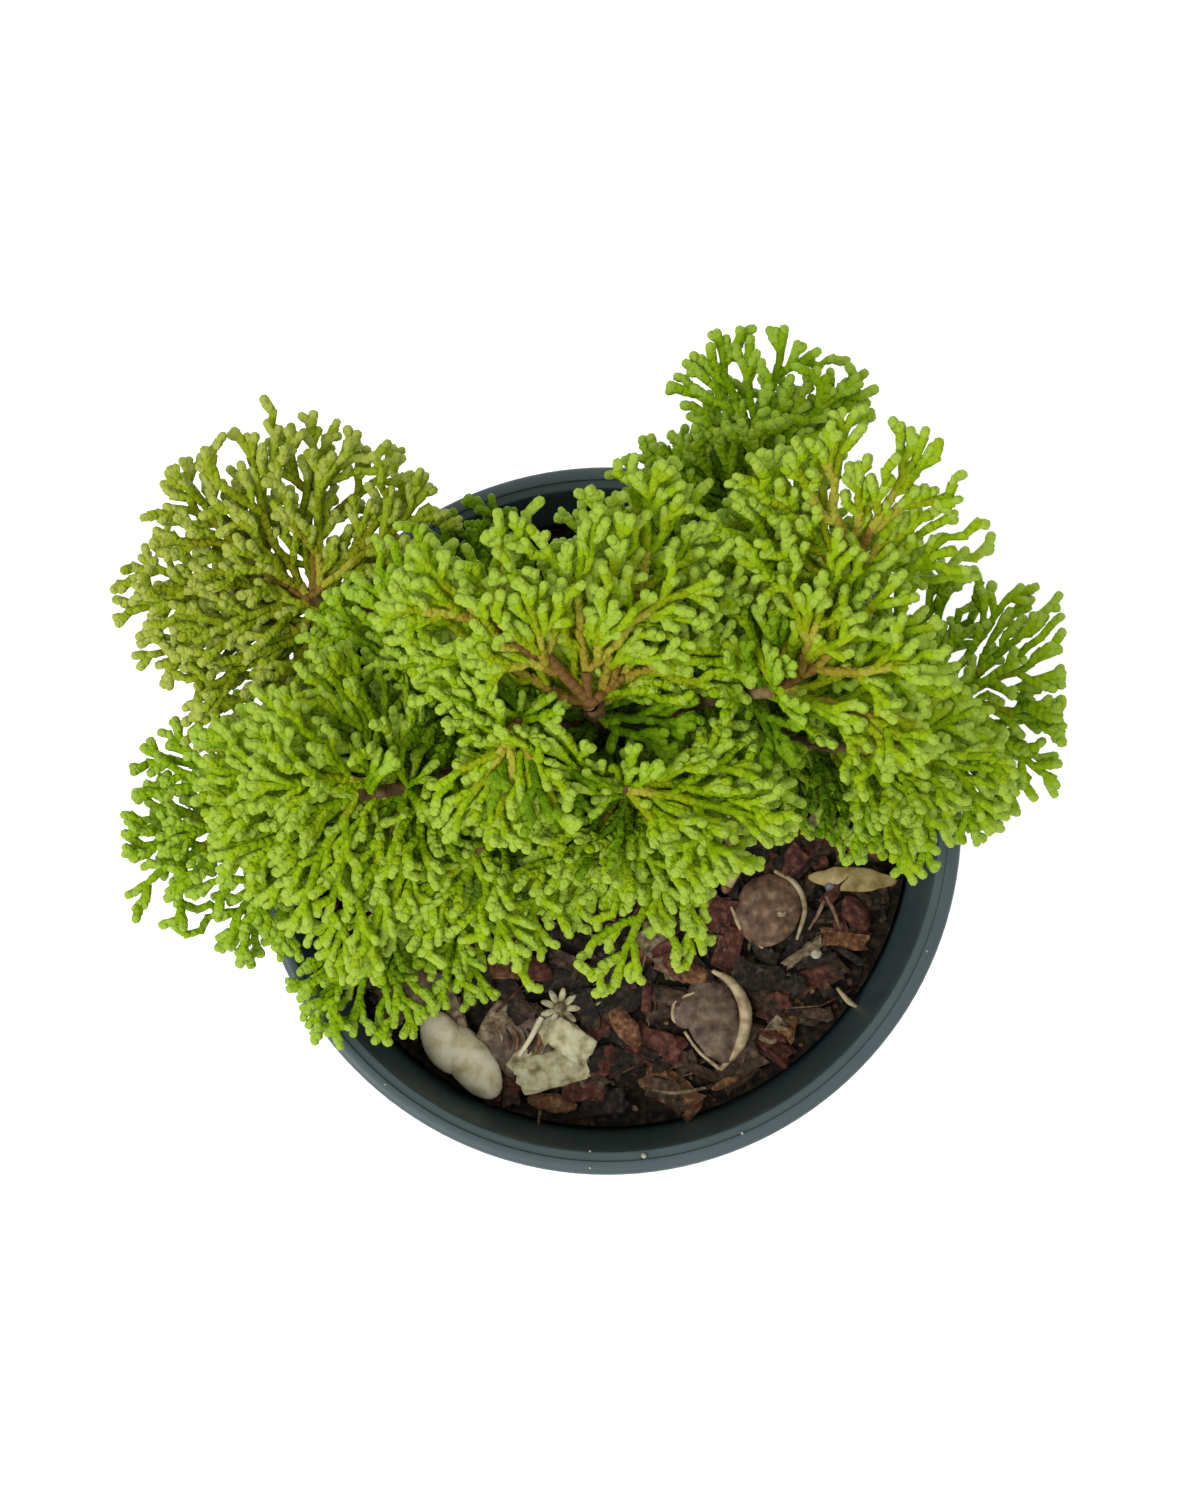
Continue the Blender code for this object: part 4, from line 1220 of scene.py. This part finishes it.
gather("half_pod", [
    lump("pod_face", 20.4, -37.4, (8.6, 5.3, 1.5), -68, husk_brown, 1.5, (-8, 0), 0.22),
    lump("pod_stub", 15.2, -35.7, (3.4, 3.0, 1.3), 70, husk_brown, 1.5, (8, 0), 0.22),
    strand("pod_edge", ((19.8, -28.2, 2.0), (23.6, -30.6, 2.5), (26.0, -35.6, 2.6), (25.2, -41.6, 2.5), (21.4, -46.8, 2.0)),
           (0.35, 0.95, 1.25, 1.05, 0.4), husk_edge),
    strand("pod_line", ((14.6, -39.6, 1.7), (17.2, -43.2, 1.8), (21.2, -46.6, 2.0)), (0.3, 0.35, 0.4), husk_edge),
    strand("stub_line", ((16.4, -32.3, 1.9), (13.0, -33.8, 1.8), (12.4, -37.0, 1.8), (14.0, -38.6, 1.8)),
           (0.25, 0.35, 0.35, 0.25), husk_edge),
], "mulch_half_pod")
gather("brown_shell", [
    lump("shell_dome", 30.4, -16.8, (7.0, 6.2, 2.1), 70, husk_pink, 1.2, (0, 0), 0.2),
    lump("shell_boss", 32.4, -17.6, (1.9, 1.5, 0.9), 20, husk_edge, 2.7, (0, 0), 0.3),
    strand("shell_edge_right", ((31.6, -9.4, 2.0), (35.6, -12.0, 2.3), (37.3, -16.6, 2.2), (35.8, -22.4, 1.8)),
           (0.35, 0.6, 0.55, 0.3), husk_edge),
    strand("shell_edge_left", ((23.4, -16.2, 1.8), (25.4, -20.4, 2.0), (29.4, -23.9, 1.8)), (0.3, 0.5, 0.35), husk_edge),
], "mulch_brown_shell")

# %% The small things that stand out
gather("straw_leaf", [lump("leaf_blade", 46.4, -11.0, (8.4, 2.4, 0.7), -3, straw, 2.4, (10, -3), 0.12, 0.8)])
gather("straw_stalk", [
    strand("stalk", ((22.0, -2.8, 2.6), (24.4, -5.4, 3.0), (24.8, -8.6, 2.8), (22.8, -12.2, 1.8)), (0.8, 0.9, 0.85, 0.95), straw),
    lump("stalk_end", 22.6, -12.6, (1.2, 1.0, 0.9), 60, LITTER["orange"], 1.6),
])
gather("pebbles", [
    lump("pebble_pale", 39.5, -25.1, (1.1, 1.0, 0.9), 20, stone, 1.3),
    lump("pebble_plum", 42.2, -12.2, (1.1, 1.0, 0.9), 70, plum, 1.4),
    strand("plum_stick_right", ((41.5, -14.2, 1.8), (43.0, -17.4, 2.0), (44.4, -21.2, 1.2)), (0.45, 0.4, 0.3), husk_pink),
    strand("plum_stick_left", ((41.1, -15.0, 1.8), (39.8, -17.8, 1.8), (38.2, -20.4, 1.2)), (0.4, 0.35, 0.25), husk_pink),
])
gather("red_pieces", [
    lump("red_chip_middle", 3.4, -38.6, (4.6, 2.3, 1.1), -55, LITTER["orange"], 1.4, (12, 0), 0.5),
    lump("red_chip_low", -0.4, -45.2, (3.4, 2.0, 1.0), 70, LITTER["red"], 1.2, (0, 8), 0.5),
    lump("red_chip_back", 13.6, -27.0, (3.6, 2.6, 1.1), -30, LITTER["red"], 1.6, (8, 0), 0.5),
    lump("red_chip_back_2", 16.6, -29.0, (2.6, 1.8, 1.0), 10, LITTER["orange"], 1.5, (0, 9), 0.5),
    lump("maroon_pod_left", -13.7, -27.6, (4.0, 2.2, 1.2), -30, LITTER["red"], 1.6, (10, 0), 0.4),
    lump("maroon_pod_right", 47.2, -17.4, (3.8, 2.4, 1.2), -52, LITTER["red"], 1.5, (0, 10), 0.4),
    lump("maroon_pod_edge", 50.0, -5.4, (2.8, 2.0, 1.1), -30, LITTER["red"], 1.4, (8, 0), 0.4),
    lump("orange_bits_front", -10.4, -53.0, (4.8, 1.9, 0.9), -8, LITTER["orange"], 1.0, (6, 0), 0.6),
    lump("orange_bit_right", 22.4, -49.2, (3.0, 0.9, 0.7), 24, LITTER["orange"], 1.6, (0, 6), 0.4),
    strand("tan_sliver", ((43.4, -31.4, 1.6), (45.6, -33.9, 1.8), (47.6, -35.2, 1.2)), (0.3, 0.6, 0.3), husk_edge),
    strand("tan_sliver_2", ((8.4, -50.6, 1.2), (13.4, -51.0, 1.5), (18.6, -50.2, 1.2)), (0.3, 0.55, 0.3), LITTER["tan"]),
])
grit = [(Vector((x, y, 115.1)), Vector((size, 0, 0)), Vector((0, 0, 0.5 * size)), Vector((0, size, 0)))
        for x, y, size in ((6.6, -61.4, 1.1), (-3.1, -60.6, 0.5), (-3.1, -63.6, 0.5), (24.4, -57.4, 0.6),
                           (-40.2, -48.6, 0.5), (41.4, 47.8, 0.6), (-51.0, 36.4, 0.5), (58.2, -24.6, 0.45))]
planted("rim_grit", CRUMB, grit, stone)
print("single pieces made")
